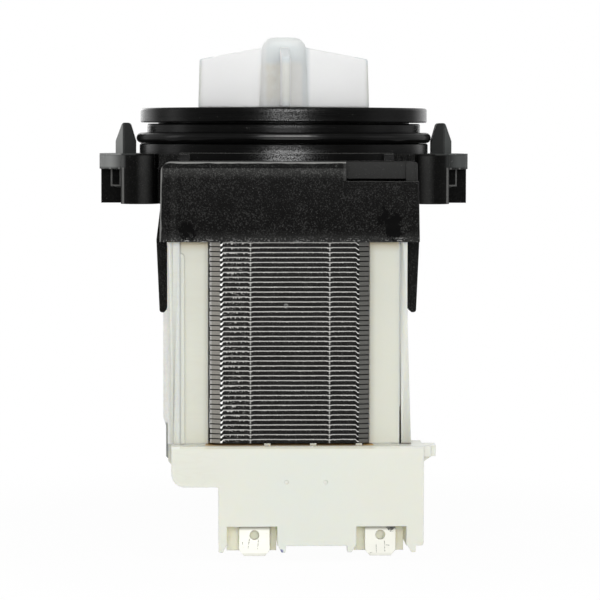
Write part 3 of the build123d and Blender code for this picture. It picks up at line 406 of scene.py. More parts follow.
def black_moulding_finish(settings, colours):
    """Glass-filled nylon: a smooth streaked nose, and a spark-grained hood and ears.

    Painted light and shade are drawn here: a highlight down each ear's boss, a reflection along
    its outer edge, a highlight outlining the ears' small catches, the ears darkened under their
    lugs, the lit lugs and tongues, highlights on edges, a sheen band on the hood and glints on
    its grain.
    """
    finish = Finish("black_moulding")
    x, y, z = finish.axes()
    smooth = finish.fade(finish.radius(), *NOSE_EDGE) * finish.ramp(z, *NOSE_FOOT)
    face = finish.fade(y, *HOOD_FACE)
    rounded = finish.soft_normal(settings.edge_radius / MM)
    edge = finish.edges(rounded)

    # Textures
    mottle = finish.noise(2.6, 3.0)
    clouds = finish.noise(9, 4.0)
    grain = finish.noise(settings.grain_size / MM, roughness=0.7)
    near_rubs = sum(finish.spot(*rub) for rub in HOOD_RUBS)
    ragged = finish.noise(1.3, 4.0, roughness=0.65)
    rubbed_off = finish.ramp(near_rubs * 0.7 + (ragged - 0.5) * 3.2, 0.4, 0.55)
    rubbed_off = rubbed_off * finish.ramp(near_rubs, 0.0, 0.1)
    polished = rubbed_off + finish.ramp(clouds, 0.58, 0.64) * finish.ramp(mottle, 0.46, 0.56) * 0.6
    step = finish.between(z, *STEP_HEIGHT, 0.1) * finish.ramp(y, *STEP_FRONT)
    step = step * finish.fade(abs(x), *STEP_HALF)
    slick = finish.held(smooth + step)
    grained = (1 - slick) * finish.ramp(polished, 0.0, 1.0, 1.0, 0.25)
    specks = finish.ramp(grain + (mottle - 0.5) * 0.25, 0.5, 0.68) * grained
    # Painted glints: tiny bright points on the grain
    grain_glints = finish.ramp(finish.noise(0.2, 1.0), 0.66, 0.76) * grained
    streaks = finish.noise(0.5, 3.0, finish.stretched((0.04, 0.04, 1.0)), roughness=0.7)

    # Places
    under_rim = finish.between(z, *UNDER_RIM, 0.15)
    beside_rim = finish.between(x, *BESIDE_RIM, 0.15)
    hollow = finish.held(under_rim + beside_rim) * face
    # Painted sheen: a lighter band just under the hood's rolled top edge and beside its left edge
    sheen_band = finish.ramp(z, *BELT_TOP) * finish.ramp(z, *BELT_FALL)
    sheen_band = sheen_band + finish.between(x, *BELT_LEFT, 0.5) * 0.3
    sheen_band = finish.held(sheen_band) * face
    lower_face = finish.ramp(z, *HOOD_LOWER) * face
    # Painted highlight on the hood's rounded edges that face up and to the left
    brow = finish.ramp(finish.facing(UP) + (mottle - 0.5) * 0.3, 0.7, 0.85)
    flank = finish.ramp(finish.facing(LEFT) + (mottle - 0.5) * 0.3, 0.72, 0.87)
    rubbed_and_highlit = (brow + flank * 0.8) * finish.fade(y, *HOOD_BACK) * (1 - smooth)
    foot = finish.fade(z, *HOOD_FOOT) * face
    lip = finish.fade(z, *HOOD_LIP) * face
    scuffs = finish.scratches(1.6, 0.2, (0.3, -0.2, 0.9), 0.1) * lip
    chips = finish.ramp(finish.noise(0.4, 3.0), 0.54, 0.64) * lip
    dust = finish.ramp(finish.noise(0.45), 0.72, 0.78)
    left = finish.fade(x, *MIDDLE)
    lug = finish.ramp(abs(x), *LUG, 0.35, 1.0) * finish.ramp(abs(x), *LUG_START)
    lug = lug * finish.between(z, *LUG_HEIGHT, 0.4)
    tongue = finish.ramp(z, *TONGUE_FOOT) * finish.ramp(abs(x), *TONGUE_INSIDE)
    outer = finish.ramp(abs(x), *TONGUE_SIDE)
    arms = finish.ramp(abs(x), *EAR_INSIDE) * finish.ramp(z, *EAR_BOTTOM)
    front = finish.ramp(finish.facing(FRONT), 0.5, 0.8)
    below = finish.ramp(z, *EAR_TOP) * arms
    # Painted highlight: a lighter stripe down the middle of each ear's boss
    boss_highlight = finish.between(abs(x), *EAR_BOSS, 0.9) * arms * finish.ramp(z, *BOSS_TOP)
    # Painted reflection: a light line along each boss's outer edge
    boss_edge_reflection = finish.between(abs(x), *BOSS_EDGE, 0.08) * below
    # Painted highlight outlining the small catch under each lug
    catch_highlight = finish.between(abs(x), *CATCH, 0.06) * finish.ramp(z, *CATCH_FOOT)
    hole = finish.between(abs(x), *CATCH_HOLE, 0.06) * finish.ramp(z, *CATCH_HOLE_FOOT)
    catch_highlight = finish.held(catch_highlight - hole) * below * front
    middle = finish.fade(abs(x), *NOSE_MIDDLE)
    plate = finish.ramp(x, *NOTCH_SIDE) * finish.between(z, *NOTCH_HEIGHT, 0.1)
    plate = plate * finish.fade(y, *NOTCH_DEPTH) * front

    # Layers
    colour = finish.blend(clouds, shaded(colours.black, 0.6), shaded(colours.black, 1.4))
    colour = finish.painted(
        colour,
        ((1 - slick) * 0.7, (0.0085, 0.0085, 0.0082)),
        (lower_face * 0.7, (0.003, 0.003, 0.0028)),
        # Painted shade: the ears darker than the hood, under their lugs
        ((1 - slick) * arms * 0.9, (0.0028, 0.0028, 0.0027)),
        # Painted highlight down the middle of the ears' bosses
        (boss_highlight * specks * 0.8, (0.06, 0.06, 0.058)),
        (boss_highlight * 0.75, (0.045, 0.045, 0.044)),
        (plate * 0.8, (0.042, 0.042, 0.041)),
        (specks * (1 - arms * 0.8) * 0.75, (0.036, 0.036, 0.035)),
        # Painted sheen band, strongest on the grain's specks
        (sheen_band * (0.3 + specks * 0.7), (0.085, 0.085, 0.082)),
        (grain_glints * (1 - arms * 0.7) * (0.5 + sheen_band * 0.1), (0.19, 0.19, 0.185)),
        (foot * 0.5, (0.035, 0.035, 0.034)),
        (rubbed_off * (1 - smooth) * 0.95, (0.0015, 0.0015, 0.0015)),
        # Painted highlights along the edges, brighter on the step and the ears
        (edge * 0.4, (0.05, 0.05, 0.048)),
        (edge * step * 0.9, (0.12, 0.12, 0.115)),
        (edge * arms * (1 - slick) * 0.6, (0.14, 0.14, 0.135)),
        # Painted highlight on the catches' outlines and painted reflection on the bosses' outer
        # edges
        ((catch_highlight + boss_edge_reflection) * 0.8, (0.15, 0.15, 0.145)),
        # Painted highlight on the up- and left-facing rounded edges
        (rubbed_and_highlit * 0.9, (0.3, 0.3, 0.29)),
    )
    # Painted light: the lugs' top strips and the tongues' outer faces lit grey, more on the left
    lit = finish.blend(left, (0.085, 0.09, 0.088), (0.27, 0.275, 0.27))
    colour = finish.painted(
        colour,
        (lug * 0.85, lit),
        (tongue * 0.95, finish.blend(outer, (0.045, 0.047, 0.046), lit)),
        (dust * 0.35, (0.18, 0.18, 0.17)),
        ((scuffs + chips * 0.5) * 0.8, (0.38, 0.38, 0.37)),
    )
    rough = 0.62 - smooth * 0.32 - specks * 0.06 + (streaks - 0.5) * 0.3
    formed = finish.bumps(1 - hollow, 0.16, rounded)
    sand = finish.noise(0.22, roughness=0.7)
    textured = finish.bumps(grain * grained + (streaks * 0.25 + sand * 0.5) * smooth, 0.045, formed)
    shine = finish.ramp(sand + (streaks - 0.5) * 0.5, 0.4, 0.66)
    ends = finish.ramp(abs(x), *NOSE_ENDS, 0.0, 0.75)
    brim = finish.ramp(z, *NOSE_BRIM) + finish.between(z, *NOSE_LINE, 0.1)
    swell = finish.ramp(z, *NOSE_FLARE) * 1.1 - finish.between(z, *NOSE_GROOVE, 0.4) * 0.42
    glow = middle * shine * (0.3 + brim * 0.35 + swell * 0.6)
    upward = finish.ramp(finish.facing(UP), 0.5, 0.9)
    gloss = (slick * (0.04 + shine * 0.05 + glow + ends)) * (1 - upward * 0.8)
    return finish.surface(
        Base_Color=colour,
        Roughness=rough,
        Normal=textured,
        Specular_IOR_Level=0.03,
        Coat_Weight=gloss,
        Coat_Roughness=0.26,
    )


def ivory_moulding_finish(settings, colours):
    """Off-white polyester: translucent, with faint flow lines, specks of dirt and painted shade in
    seams.

    Painted light and shade: the pockets' depths are brighter and warm, tan towards their tops,
    and the walls that the hood keeps from the light are painted darker.
    """
    finish = Finish("ivory_moulding")
    x, y, z = finish.axes()
    rounded = finish.soft_normal(settings.edge_radius / MM)
    edge = finish.edges(rounded)
    seam = finish.crevices(0.6)
    shade = finish.crevices(4.0)
    clouds = finish.noise(16, 3.0)
    along_flow = finish.stretched((0.2, 1.0, 1.0), (0.0, 0.2, 0.0))
    flow = finish.noise(2.5, 3.0, along_flow, distortion=0.6)
    dirt = finish.ramp(finish.noise(0.5), 0.76, 0.82)
    inside = finish.ramp(y, *BASE_INSIDE)
    pocket = inside * finish.ramp(z, *POCKET_TOP) * finish.fade(y, *POCKET_BACK)
    pocket = pocket * sum(finish.between(x, *sides, 0.1) for sides in POCKETS)
    depth = finish.ramp(z, POCKET_TOP[0], -85.0)
    above = finish.ramp(z, *PANEL_BOTTOM)
    panels = above * finish.ramp(abs(x), *PANEL_SIDE)
    under_hood = finish.ramp(z, *UNDER_HOOD) * panels
    beside_core = finish.ramp(abs(x), *BESIDE_CORE) * panels
    dimple = sum(finish.spot(*dent) for dent in DIMPLES)
    lower_right_seam = finish.ramp(x, *SEAM_SHADE_SIDE) * finish.ramp(z, *SEAM_SHADE_TOP)
    under_core_shade = finish.ramp(abs(x), *UNDER_CORE) * finish.between(z, *UNDER_CORE_HEIGHT, 0.1)
    under_core_shade = under_core_shade * finish.ramp(finish.facing(UP), 0.3, 0.6) * inside
    skirt = finish.between(x, *SKIRT, 0.1) * finish.ramp(z, *SKIRT_TOP)
    middle = finish.fade(abs(x - BASE_CENTRE), *BASE_FADE) * finish.ramp(z, *BASE_TOP)
    gate = finish.fade(abs(flow - 0.5), 0.02, 0.06) * finish.fade(x, *GATE)
    ink = finish.spot(*INK_DOT)
    colour = finish.blend(clouds, shaded(colours.ivory, 0.945), shaded(colours.ivory, 0.99))
    colour = finish.blend(panels * 0.8, colour, (0.67, 0.675, 0.585))
    left = finish.fade(x, *MIDDLE)
    outer_wall = finish.ramp(x, *OUTER_WALL)
    # Painted light: the walls beside the panels lighter on the left, where the light falls, than on
    # the right; the outermost left wall near white
    wall = finish.blend(left, (0.7, 0.715, 0.665), (0.78, 0.8, 0.75))
    wall = finish.blend(outer_wall, wall, (1.0, 1.0, 0.97))
    colour = finish.painted(
        colour,
        (above * (1 - panels) * 0.7, wall),
        # Painted shade on the panels beside the core
        (beside_core * 0.45, (0.45, 0.43, 0.34)),
        # Painted shadow: warm tan at the top of the panels, under the hood
        (under_hood * 0.75, (0.42, 0.34, 0.2)),
        # Painted highlight: a pale spot in each dimple
        (dimple * 0.6, (0.92, 0.93, 0.88)),
        (middle * 0.35, (0.7, 0.74, 0.7)),
        (gate * 0.08, (0.6, 0.58, 0.5)),
        # Painted highlights along the edges
        (edge * 0.3, (0.8, 0.81, 0.76)),
    )
    # Painted light and shade in the pockets: brighter and warmer than the ivory in their depths, in
    # place of light through the thin walls, and tan towards their tops, where shade falls
    beige = finish.blend(depth, (1.0, 0.86, 0.58), (1.0, 0.97, 0.78))
    colour = finish.painted(
        colour,
        (pocket * 0.9, beige),
        # Painted shade: the cover's rear skirt grey at the lower left
        (skirt * 0.9, (0.2, 0.22, 0.225)),
        (dirt * 0.2, (0.35, 0.32, 0.25)),
        (shade * (1 - pocket) * 0.25, (0.58, 0.5, 0.36)),
        # Painted shade: a brown line in the seams at the lower right
        (seam * lower_right_seam * 0.7, (0.14, 0.09, 0.05)),
        # Painted shade: the base's top under the core painted brown
        (under_core_shade, (0.62, 0.38, 0.15)),
        (ink * 0.8, (0.03, 0.05, 0.3)),
    )
    height = flow * 0.6 + finish.noise(0.6) * 0.25
    return finish.surface(
        Base_Color=colour,
        Roughness=finish.follow(clouds, 0.4, 0.5),
        Normal=finish.bumps(height, 0.015, rounded),
        Specular_IOR_Level=0.3,
        Subsurface_Weight=0.4,
        Subsurface_Radius=(2.0, 1.6, 1.0),
        Subsurface_Scale=MM,
    )


def natural_plastic_finish(colours):
    """Milky natural plastic, through which the hub's hollow and the drive dog show faintly, with
    painted light and shade on the hub and the front and back blades.
    """
    finish = Finish("natural_plastic")
    x, y, z = finish.axes()
    radius = finish.radius()
    hub = finish.fade(radius, *HUB)
    outward = finish.facing(finish.place) / radius
    blade_end = finish.ramp(outward, 0.3, 0.8) * finish.ramp(radius, *BLADE_END)
    hollow = finish.fade(z, *HUB_HOLLOW)
    lit_side = finish.fade(x, *HUB_LIT)
    crown = finish.ramp(z, *HUB_CROWN)
    foot = finish.fade(z, *HUB_FOOT)
    tip = finish.ramp(radius, *BLADE_TIP)
    clouds = finish.noise(5, 3.0)
    fine = finish.noise(0.5)
    stain = finish.ramp(finish.noise(2.4), 0.4, 0.65)
    blue_spot = finish.between(z, *DOG, 0.8)
    colour = finish.blend(clouds, shaded(colours.natural, 1.03), shaded(colours.natural, 1.07))
    colour = finish.blend(tip * 0.5, colour, (0.76, 0.77, 0.73))
    # Partly painted light: the hollow seen through the hub is tinted warm only on its lit left side
    core = finish.blend(hollow * lit_side, (0.74, 0.78, 0.78), (0.85, 0.85, 0.77))
    core = finish.painted(
        core,
        (hollow * lit_side * stain * 0.35, (0.66, 0.6, 0.5)),
        (foot * 0.5, (0.8, 0.84, 0.83)),
        (crown * 0.8, (0.78, 0.81, 0.79)),
    )
    # Painted light on the hub's right side, where the front blade casts its shadow
    shaded_side = finish.ramp(x, *HUB_SHADED) * finish.ramp(x, 4.4, 3.4)
    core = finish.painted(
        core,
        (shaded_side * hollow * 0.8, (0.9, 0.9, 0.85)),
        (finish.ramp(x, *HUB_LEFT) * 0.7, (0.96, 0.97, 0.95)),
    )
    colour = finish.blend(hub, colour, core)
    # Painted light and shade on the front and back blades: white sides, to lift the shade on them,
    # and blue-grey tops, to take back the light from above
    side = finish.fade(abs(x), *BLADE_HALF) * finish.ramp(abs(y), *BLADE_START)
    above = finish.ramp(finish.facing(UP), 0.3, 0.7)
    colour = finish.blend(side, colour, finish.blend(above, WHITE, (0.66, 0.7, 0.71)))
    end_tone = finish.blend(hollow, (0.6, 0.65, 0.66), (0.68, 0.69, 0.64))
    end_tone = finish.painted(
        end_tone,
        (blue_spot * 0.8, (0.64, 0.69, 0.71)),
        (foot * 0.6, (0.66, 0.71, 0.72)),
        (stain * 0.15, (0.78, 0.78, 0.74)),
    )
    colour = finish.blend(blade_end, colour, end_tone)
    return finish.surface(
        Base_Color=colour,
        Roughness=finish.follow(clouds, 0.42, 0.52),
        Normal=finish.bumps(clouds + fine * 0.3, 0.02),
        Specular_IOR_Level=0.25,
        Subsurface_Weight=0.75,
        Subsurface_Radius=(5.0, 5.0, 4.8),
        Subsurface_Scale=MM,
    )


def sheet_steel_finish(settings, colours):
    """Sheared silicon steel: dark cut faces, bright burrs that sag at their ends, and two welds,
    with painted glints and painted light on the chamfers.
    """
    finish = Finish("sheet_steel")
    x, y, z = finish.axes()
    low, high = ([part / MM for part in corner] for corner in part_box("core_laminations"))
    pitch = (high[2] - low[2]) / settings.sheet_count
    flat_end = high[0] - SHEET_CHAMFER[0]
    face = finish.fade(y, low[1] + 0.06, low[1] + 0.12)
    corner = finish.fade(y, low[1] + 0.95, low[1] + 1.0) * (1 - face)
    left = finish.fade(x, *MIDDLE)
    left_third = finish.ramp(x, *LEFT_THIRD)

    hook = finish.ramp(abs(x), flat_end - 0.6, flat_end)
    weld_swell = sum(finish.fade(abs(x - middle), 0.1, 0.7) for middle in WELDS)
    wave = finish.noise(4) - 0.5
    layer = ((z - low[2]) / pitch) % 1.0
    share = layer + wave * 0.12 + hook * 0.44 + weld_swell * 0.12
    teeth = finish.ramp(finish.noise(0.34, 2.0, finish.stretched((1.0, 1.0, 0.3))), 0.48, 0.7)
    depth = teeth * (0.07 + left_third * 0.24) + hook * left * 0.2
    burr = finish.ramp(share + depth, 0.66, 0.72) * finish.fade(share, 0.88, 0.93)

    patch = finish.noise(5, 3.0)
    fine = finish.noise(0.16)
    drag = finish.ramp(finish.noise(0.13, 2.0, finish.stretched((1.0, 1.0, 0.04))), 0.58, 0.72)
    rubbed_and_highlit = finish.noise(0.3, 2.0, finish.stretched((0.5, 1.0, 1.0)))
    rubbed_and_highlit = finish.ramp(rubbed_and_highlit, 0.6, 0.72) * left_third
    weld = sum(
        finish.between(x, middle - WELD_HALF, middle + WELD_HALF, 0.05) for middle in WELDS
    )
    dent = finish.spot((-0.75, low[1], -40.33), 0.6) * finish.ramp(fine, 0.4, 0.5)

    colour = finish.blend(patch, shaded(colours.steel_dark, 0.5), shaded(colours.steel_dark, 1.2))
    colour = finish.painted(
        colour,
        (finish.ramp(fine, 0.48, 0.7) * 0.3, (0.085, 0.082, 0.078)),
        (drag * (0.08 + left_third * 0.1), (0.25, 0.25, 0.24)),
        (rubbed_and_highlit * face * 0.4, (0.25, 0.24, 0.23)),
        (burr * face * 0.95, colours.steel_bright),
        # Painted glint: near white where the burrs hook round at the chamfers, stronger on the left
        (hook * burr * face * (0.35 + left * 0.65), (0.85, 0.85, 0.83)),
        (weld * face * 0.75, (0.36, 0.355, 0.34)),
        (dent * face * 0.6, (0.4, 0.4, 0.39)),
    )
    # Painted light on the chamfered corners: the left lighter than the right, as the light falls
    # from the left, and lightest at its outer edge
    block = finish.blend(left, (0.1, 0.1, 0.095), (0.27, 0.26, 0.235))
    block = finish.blend(finish.ramp(fine, 0.35, 0.65) * 0.35, block, (0.14, 0.135, 0.12))
    rim = finish.ramp(x, 0.4 - high[0], 0.2 - high[0])
    block = finish.blend(rim * 0.7, block, (0.5, 0.5, 0.48))
    colour = finish.blend(corner * finish.between(layer, 0.06, 0.84, 0.04), colour, block)
    return finish.surface(
        Base_Color=colour,
        Metallic=0.35,
        Roughness=finish.follow(fine, 0.4, 0.55),
        Normal=finish.bumps(burr + fine * 0.3, 0.03),
        Specular_IOR_Level=0.04,
    )


def tin_finish(colours):
    """Tinned brass, scored by the plug: short black strokes, and dirt at the right tab's root."""
    finish = Finish("tin_plate")
    strokes = (finish.stroke(row[:2], row[2:], STROKE_WIDTH) for row in TAB_STROKES)
    marks = finish.held(sum(strokes))
    across = finish.noise(0.16, 2.0, finish.stretched((0.14, 1.0, 1.0), (0.0, 0.1, 0.0)))
    scores = finish.ramp(across, 0.66, 0.72)
    clouds = finish.noise(2, 3.0)
    colour = finish.blend(clouds, shaded(colours.tin, 0.96), shaded(colours.tin, 1.04))
    x, _, z = finish.axes()
    shade = finish.ramp(z, *TAB_ROOT)
    corner = finish.spot(*TAB_DIRT)
    grit = finish.ramp(corner + (finish.noise(0.22) - 0.5) * 3.0, 0.6, 0.75)
    grit = grit * finish.ramp(corner, 0.0, 0.1)
    foot = finish.ramp(z, *TAB_FOOT)
    rim = finish.edges(finish.soft_normal(0.15))
    colour = finish.painted(
        colour,
        (scores * 0.15, (0.3, 0.3, 0.28)),
        (foot * 0.4, (0.45, 0.45, 0.4)),
    )
    right = finish.ramp(x, 4.9, 5.1)
    colour = finish.painted(
        colour,
        (right * 0.5, shaded(colours.tin, 0.8)),
        (rim * 0.5, (0.3, 0.3, 0.27)),
        (shade * 0.75, (0.16, 0.155, 0.11)),
        (grit * 0.9, (0.01, 0.01, 0.01)),
        (marks * 0.85, (0.06, 0.06, 0.06)),
    )
    return finish.surface(
        Base_Color=colour,
        Metallic=0.3,
        Roughness=finish.follow(clouds, 0.34, 0.46),
        Normal=finish.bumps(1 - marks, 0.02, finish.soft_normal(0.12)),
    )


def rubber_finish():
    """Black rubber, glossy in the middle, with two painted highlight streaks and a parting line."""
    finish = Finish("black_rubber")
    x, _, z = finish.axes()
    clouds = finish.noise(3, 3.0)
    colour = finish.blend(clouds, (0.002, 0.002, 0.002), (0.005, 0.005, 0.0048))
    upper, lower = RING_STREAKS
    # Painted highlight: two light streaks along the O-ring's front
    streak_highlights = finish.between(z, *upper, 0.08) + finish.between(z, *lower, 0.06) * 0.45
    streak_highlights = streak_highlights * finish.fade(abs(x), 3.5, 6.8) * finish.ramp(clouds, 0.35, 0.55, 0.6, 1.0)
    colour = finish.blend(streak_highlights * 0.6, colour, (0.36, 0.36, 0.35))
    gloss = finish.ramp(abs(x), 4, 9, 1.0, 0.1) * finish.ramp(
        finish.facing(UP), 0.35, 0.5, 1.0, 0.15
    )
    parting = finish.between(z, *RING_PARTING, 0.05)
    return finish.surface(
        Base_Color=colour,
        Roughness=finish.follow(clouds, 0.28, 0.36),
        Normal=finish.bumps(finish.noise(0.4), 0.01),
        Specular_IOR_Level=0.03,
        Coat_Weight=gloss * (1 - parting * 0.8),
        Coat_Roughness=0.11,
    )


def ground_steel_finish():
    """Ground steel, with fine lines around the shaft."""
    finish = Finish("ground_steel")
    lines = finish.noise(0.15, 2.0, finish.stretched((0.05, 0.05, 1.0)))
    colour = finish.blend(lines, (0.5, 0.5, 0.5), (0.68, 0.68, 0.68))
    return finish.surface(
        Base_Color=colour,
        Metallic=1.0,
        Roughness=finish.follow(lines, 0.18, 0.3),
    )


def dull_finish(name, colour, size, rough):
    """A plain finish for the inner pieces: mottled, with a fine texture of the given size."""
    finish = Finish(name)
    clouds = finish.noise(size * 6, 3.0)
    fine = finish.noise(size)
    tone = finish.blend(clouds, shaded(colour, 0.8), shaded(colour, 1.15))
    # Painted shade: near black in crevices and narrow gaps
    tone = finish.blend(finish.crevices(1.0) * 0.9, tone, shaded(colour, 0.04))
    return finish.surface(
        Base_Color=tone,
        Roughness=finish.follow(fine, rough, rough + 0.15),
        Normal=finish.bumps(fine, 0.02),
    )


def wire_finish():
    """Enamelled copper wire, wound in even turns."""
    finish = Finish("enamelled_wire")
    _, y, _ = finish.axes()
    turn = (y / WIRE_PITCH) % 1.0
    ridge = 1 - abs(turn - 0.5) * 2
    # Painted shade between the turns and painted highlight on their crowns
    colour = finish.blend(ridge, (0.16, 0.045, 0.015), (0.62, 0.24, 0.09))
    return finish.surface(
        Base_Color=colour,
        Metallic=0.8,
        Roughness=finish.follow(finish.noise(1), 0.25, 0.4),
        Normal=finish.bumps(ridge, 0.1),
    )


# Meshes


# The distance in mm under which vertices are merged, and the angle of a sharp edge in degrees
MERGE_DISTANCE, SHARP_ANGLE = 0.001, 30


def dress(material, *nodes):
    """Gives CAD nodes a finish."""
    for name in nodes:
        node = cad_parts[name]
        node.data.materials.clear()
        node.data.materials.append(material)


def new_piece(name, mesh, material, body, replaced=None):
    """Puts a finished mesh in the scene as a piece."""
    piece = bpy.data.objects.new(name, mesh)
    bpy.context.scene.collection.objects.link(piece)
    mesh.materials.clear()
    mesh.materials.append(material)
    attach(piece, body)
    if replaced:
        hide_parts(replaced)


def settled(source):
    """A plain mesh of an object with its modifiers applied. The object is removed."""
    bpy.context.view_layer.update()
    graph = bpy.context.evaluated_depsgraph_get()
    mesh = bpy.data.meshes.new_from_object(source.evaluated_get(graph), depsgraph=graph)
    bpy.data.objects.remove(source)
    return mesh


def copied_node(node):
    """A closed copy of a CAD node's mesh, as a loose object."""
    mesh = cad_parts[node].data.copy()
    shape = bmesh.new()
    shape.from_mesh(mesh)
    bmesh.ops.remove_doubles(shape, verts=shape.verts, dist=MERGE_DISTANCE * MM)
    shape.to_mesh(mesh)
    shape.free()
    copy = bpy.data.objects.new(node + "_copy", mesh)
    bpy.context.scene.collection.objects.link(copy)
    return copy


# Core


# The outline of a sheet, in mm and degrees
SHEET_LEG = 9.0
SHEET_YOKE = 9.0
SHEET_CHAMFER = (2.25, 0.8)
POLE_RADIUS, POLE_STEP_RADIUS, POLE_STEP_ANGLE = 9.8, 10.4, 70
# Each side swells a little at one place: y from the yoke's face and how far out, in mm
SWELL = ((13.0, 0.0), (12.8, 0.09), (12.0, 0.09), (11.8, 0.0))
# How far a sheet may lie off its place, in mm
SHIFT_LOW, SHIFT_HIGH = (-0.03, 0.0, 0.0), (0.03, 0.05, 0.0)


def sheet_outline(low, high):
    """The corners of one U-shaped sheet, as seen from above."""
    back = low[1] + SHEET_YOKE * MM
    half = high[0]
    inner = half - SHEET_LEG * MM
    tips = high[1]
    pole, wide, step = POLE_RADIUS * MM, POLE_STEP_RADIUS * MM, math.radians(POLE_STEP_ANGLE)

    def arc(start, end, count):
        """Points along the right-hand pole face, with its step."""
        points = []
        for number in range(count + 1):
            angle = start + (end - start) * number / count
            radius = wide if 0 < angle < step else pole
            points.append((radius * math.cos(angle), radius * math.sin(angle)))
        return points

    reach = math.acos(inner / pole)
    right = [(inner, back)] + arc(-reach, -0.001, 7) + arc(0.001, reach, 7) + [(inner, tips)]
    outer = [
        (-half, tips),
        *((-half - out * MM, low[1] + along * MM) for along, out in SWELL),
        (-half, low[1] + SHEET_CHAMFER[1] * MM),
        (-half + SHEET_CHAMFER[0] * MM, low[1]),
    ]
    outer = outer + [(-x, y) for x, y in reversed(outer)]
    return outer + right[::-1] + [(-x, y) for x, y in right]


def sheet_mesh(low, high, thickness, corner):
    """One sheet with the sheared edges rounded."""
    mesh = bpy.data.meshes.new("core_sheet")
    shape = bmesh.new()
    corners = [shape.verts.new((x, y, low[2])) for x, y in sheet_outline(low, high)]
    face = shape.faces.new(corners)
    grown = bmesh.ops.extrude_face_region(shape, geom=[face])
    lifted = [item for item in grown["geom"] if isinstance(item, bmesh.types.BMVert)]
    bmesh.ops.translate(shape, verts=lifted, vec=(0, 0, thickness))
    bmesh.ops.recalc_face_normals(shape, faces=shape.faces)
    rims = [edge for edge in shape.edges if abs(edge.verts[0].co.z - edge.verts[1].co.z) < corner]
    bmesh.ops.bevel(shape, geom=rims, offset=corner, segments=1, affect="EDGES")
    shape.to_mesh(mesh)
    shape.free()
    return mesh


def stack_tree():
    """Geometry nodes that stack copies of a sheet along Z."""
    tree = bpy.data.node_groups.new("sheet_stack", "GeometryNodeTree")
    inputs = {"Sheet": "Geometry", "Count": "Int", "Pitch": "Float", "Finish": "Material"}
    for name, kind in inputs.items():
        tree.interface.new_socket(name, in_out="INPUT", socket_type="NodeSocket" + kind)
    tree.interface.new_socket("Stack", in_out="OUTPUT", socket_type="NodeSocketGeometry")
    book = Book(tree)
    given = book.add("NodeGroupInput")
    sheet, count, pitch, finish = (Wire(book, given.outputs[number]) for number in range(4))
    offset = book.wire("ShaderNodeCombineXYZ", None, {"Z": pitch})
    line = book.wire("GeometryNodeMeshLine", None, {"Count": count, "Offset": offset})
    spread = book.wire(
        "FunctionNodeRandomValue",
        {"data_type": "FLOAT_VECTOR"},
        {0: [part * MM for part in SHIFT_LOW], 1: [part * MM for part in SHIFT_HIGH], "Seed": 7},
    )
    line = book.wire("GeometryNodeSetPosition", None, {"Geometry": line, "Offset": spread})
    copies = book.wire("GeometryNodeInstanceOnPoints", None, {"Points": line, "Instance": sheet})
    real = book.wire("GeometryNodeRealizeInstances", None, {0: copies})
    painted = book.wire("GeometryNodeSetMaterial", None, {"Geometry": real, "Material": finish})
    book.add("NodeGroupOutput", None, {0: painted})
    return tree


def set_inputs(modifier, values):
    """Sets a geometry-nodes modifier's inputs by their names."""
    for item in modifier.node_group.interface.items_tree:
        if item.item_type == "SOCKET" and item.in_out == "INPUT" and item.name in values:
            modifier[item.identifier] = values[item.name]


class PUMP_OT_core(bpy.types.Operator):
    """Stack the core's sheets"""

    bl_idname = "pump.core"
    bl_label = "Laminated core"

    def execute(self, context):
        settings = context.scene.pump_sizes
        low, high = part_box("core_laminations")
        pitch = (high[2] - low[2]) / settings.sheet_count
        finish = sheet_steel_finish(settings, context.scene.pump_colours)
        mesh = sheet_mesh(low, high, pitch * settings.sheet_share, settings.sheet_corner)
        source = bpy.data.objects.new("core_source", mesh)
        context.scene.collection.objects.link(source)
        modifier = source.modifiers.new("stack", "NODES")
        modifier.node_group = stack_tree()
        set_inputs(modifier, {"Count": settings.sheet_count, "Pitch": pitch, "Finish": finish})
        mesh = settled(source)
        new_piece("core_stack", mesh, finish, "stator", "core_laminations")
        return {"FINISHED"}


# Impeller


class PUMP_OT_impeller(bpy.types.Operator):
    """Round the impeller's edges and the roots of its blades"""

    bl_idname = "pump.impeller"
    bl_label = "Impeller"

    def execute(self, context):
        settings = context.scene.pump_sizes
        finish = natural_plastic_finish(context.scene.pump_colours)
        source = copied_node("impeller")
        remesh = source.modifiers.new("voxels", "REMESH")
        remesh.mode = "VOXEL"
        remesh.voxel_size = settings.blade_voxel
        smooth = source.modifiers.new("smooth", "SMOOTH")
        smooth.factor = 0.5
        smooth.iterations = 4
        mesh = settled(source)
        for polygon in mesh.polygons:
            polygon.use_smooth = True
        new_piece("impeller_body", mesh, finish, "impeller", "impeller")
        dress(finish, "hub_plug")
        return {"FINISHED"}


# Coil cover


# Seams that are pressed shut: low and high corners of what fills them, in mm
SEAMS = (
    ((-22.26, -43.99, -68.6), (-22.14, -41.0, -28.0)),
    ((22.49, -43.75, -61.0), (22.63, -41.0, -28.0)),
    ((-23.9, -43.8, -68.72), (-17.0, -41.0, -68.58)),
    ((17.0, -43.8, -68.72), (22.4, -41.0, -68.58)),
)


# The cover's drawn-in corner, in mm: where it starts, its round and the cuts that let it bend
CORNER_SIDES = (-24.75, -21.5)
CORNER_TOP, CORNER_BACK = -72.9, -17
CORNER_CENTRE, CORNER_RADIUS = (-20.98, -73.9), 2.9
CUTS, CUT_SPACING = 8, 0.4


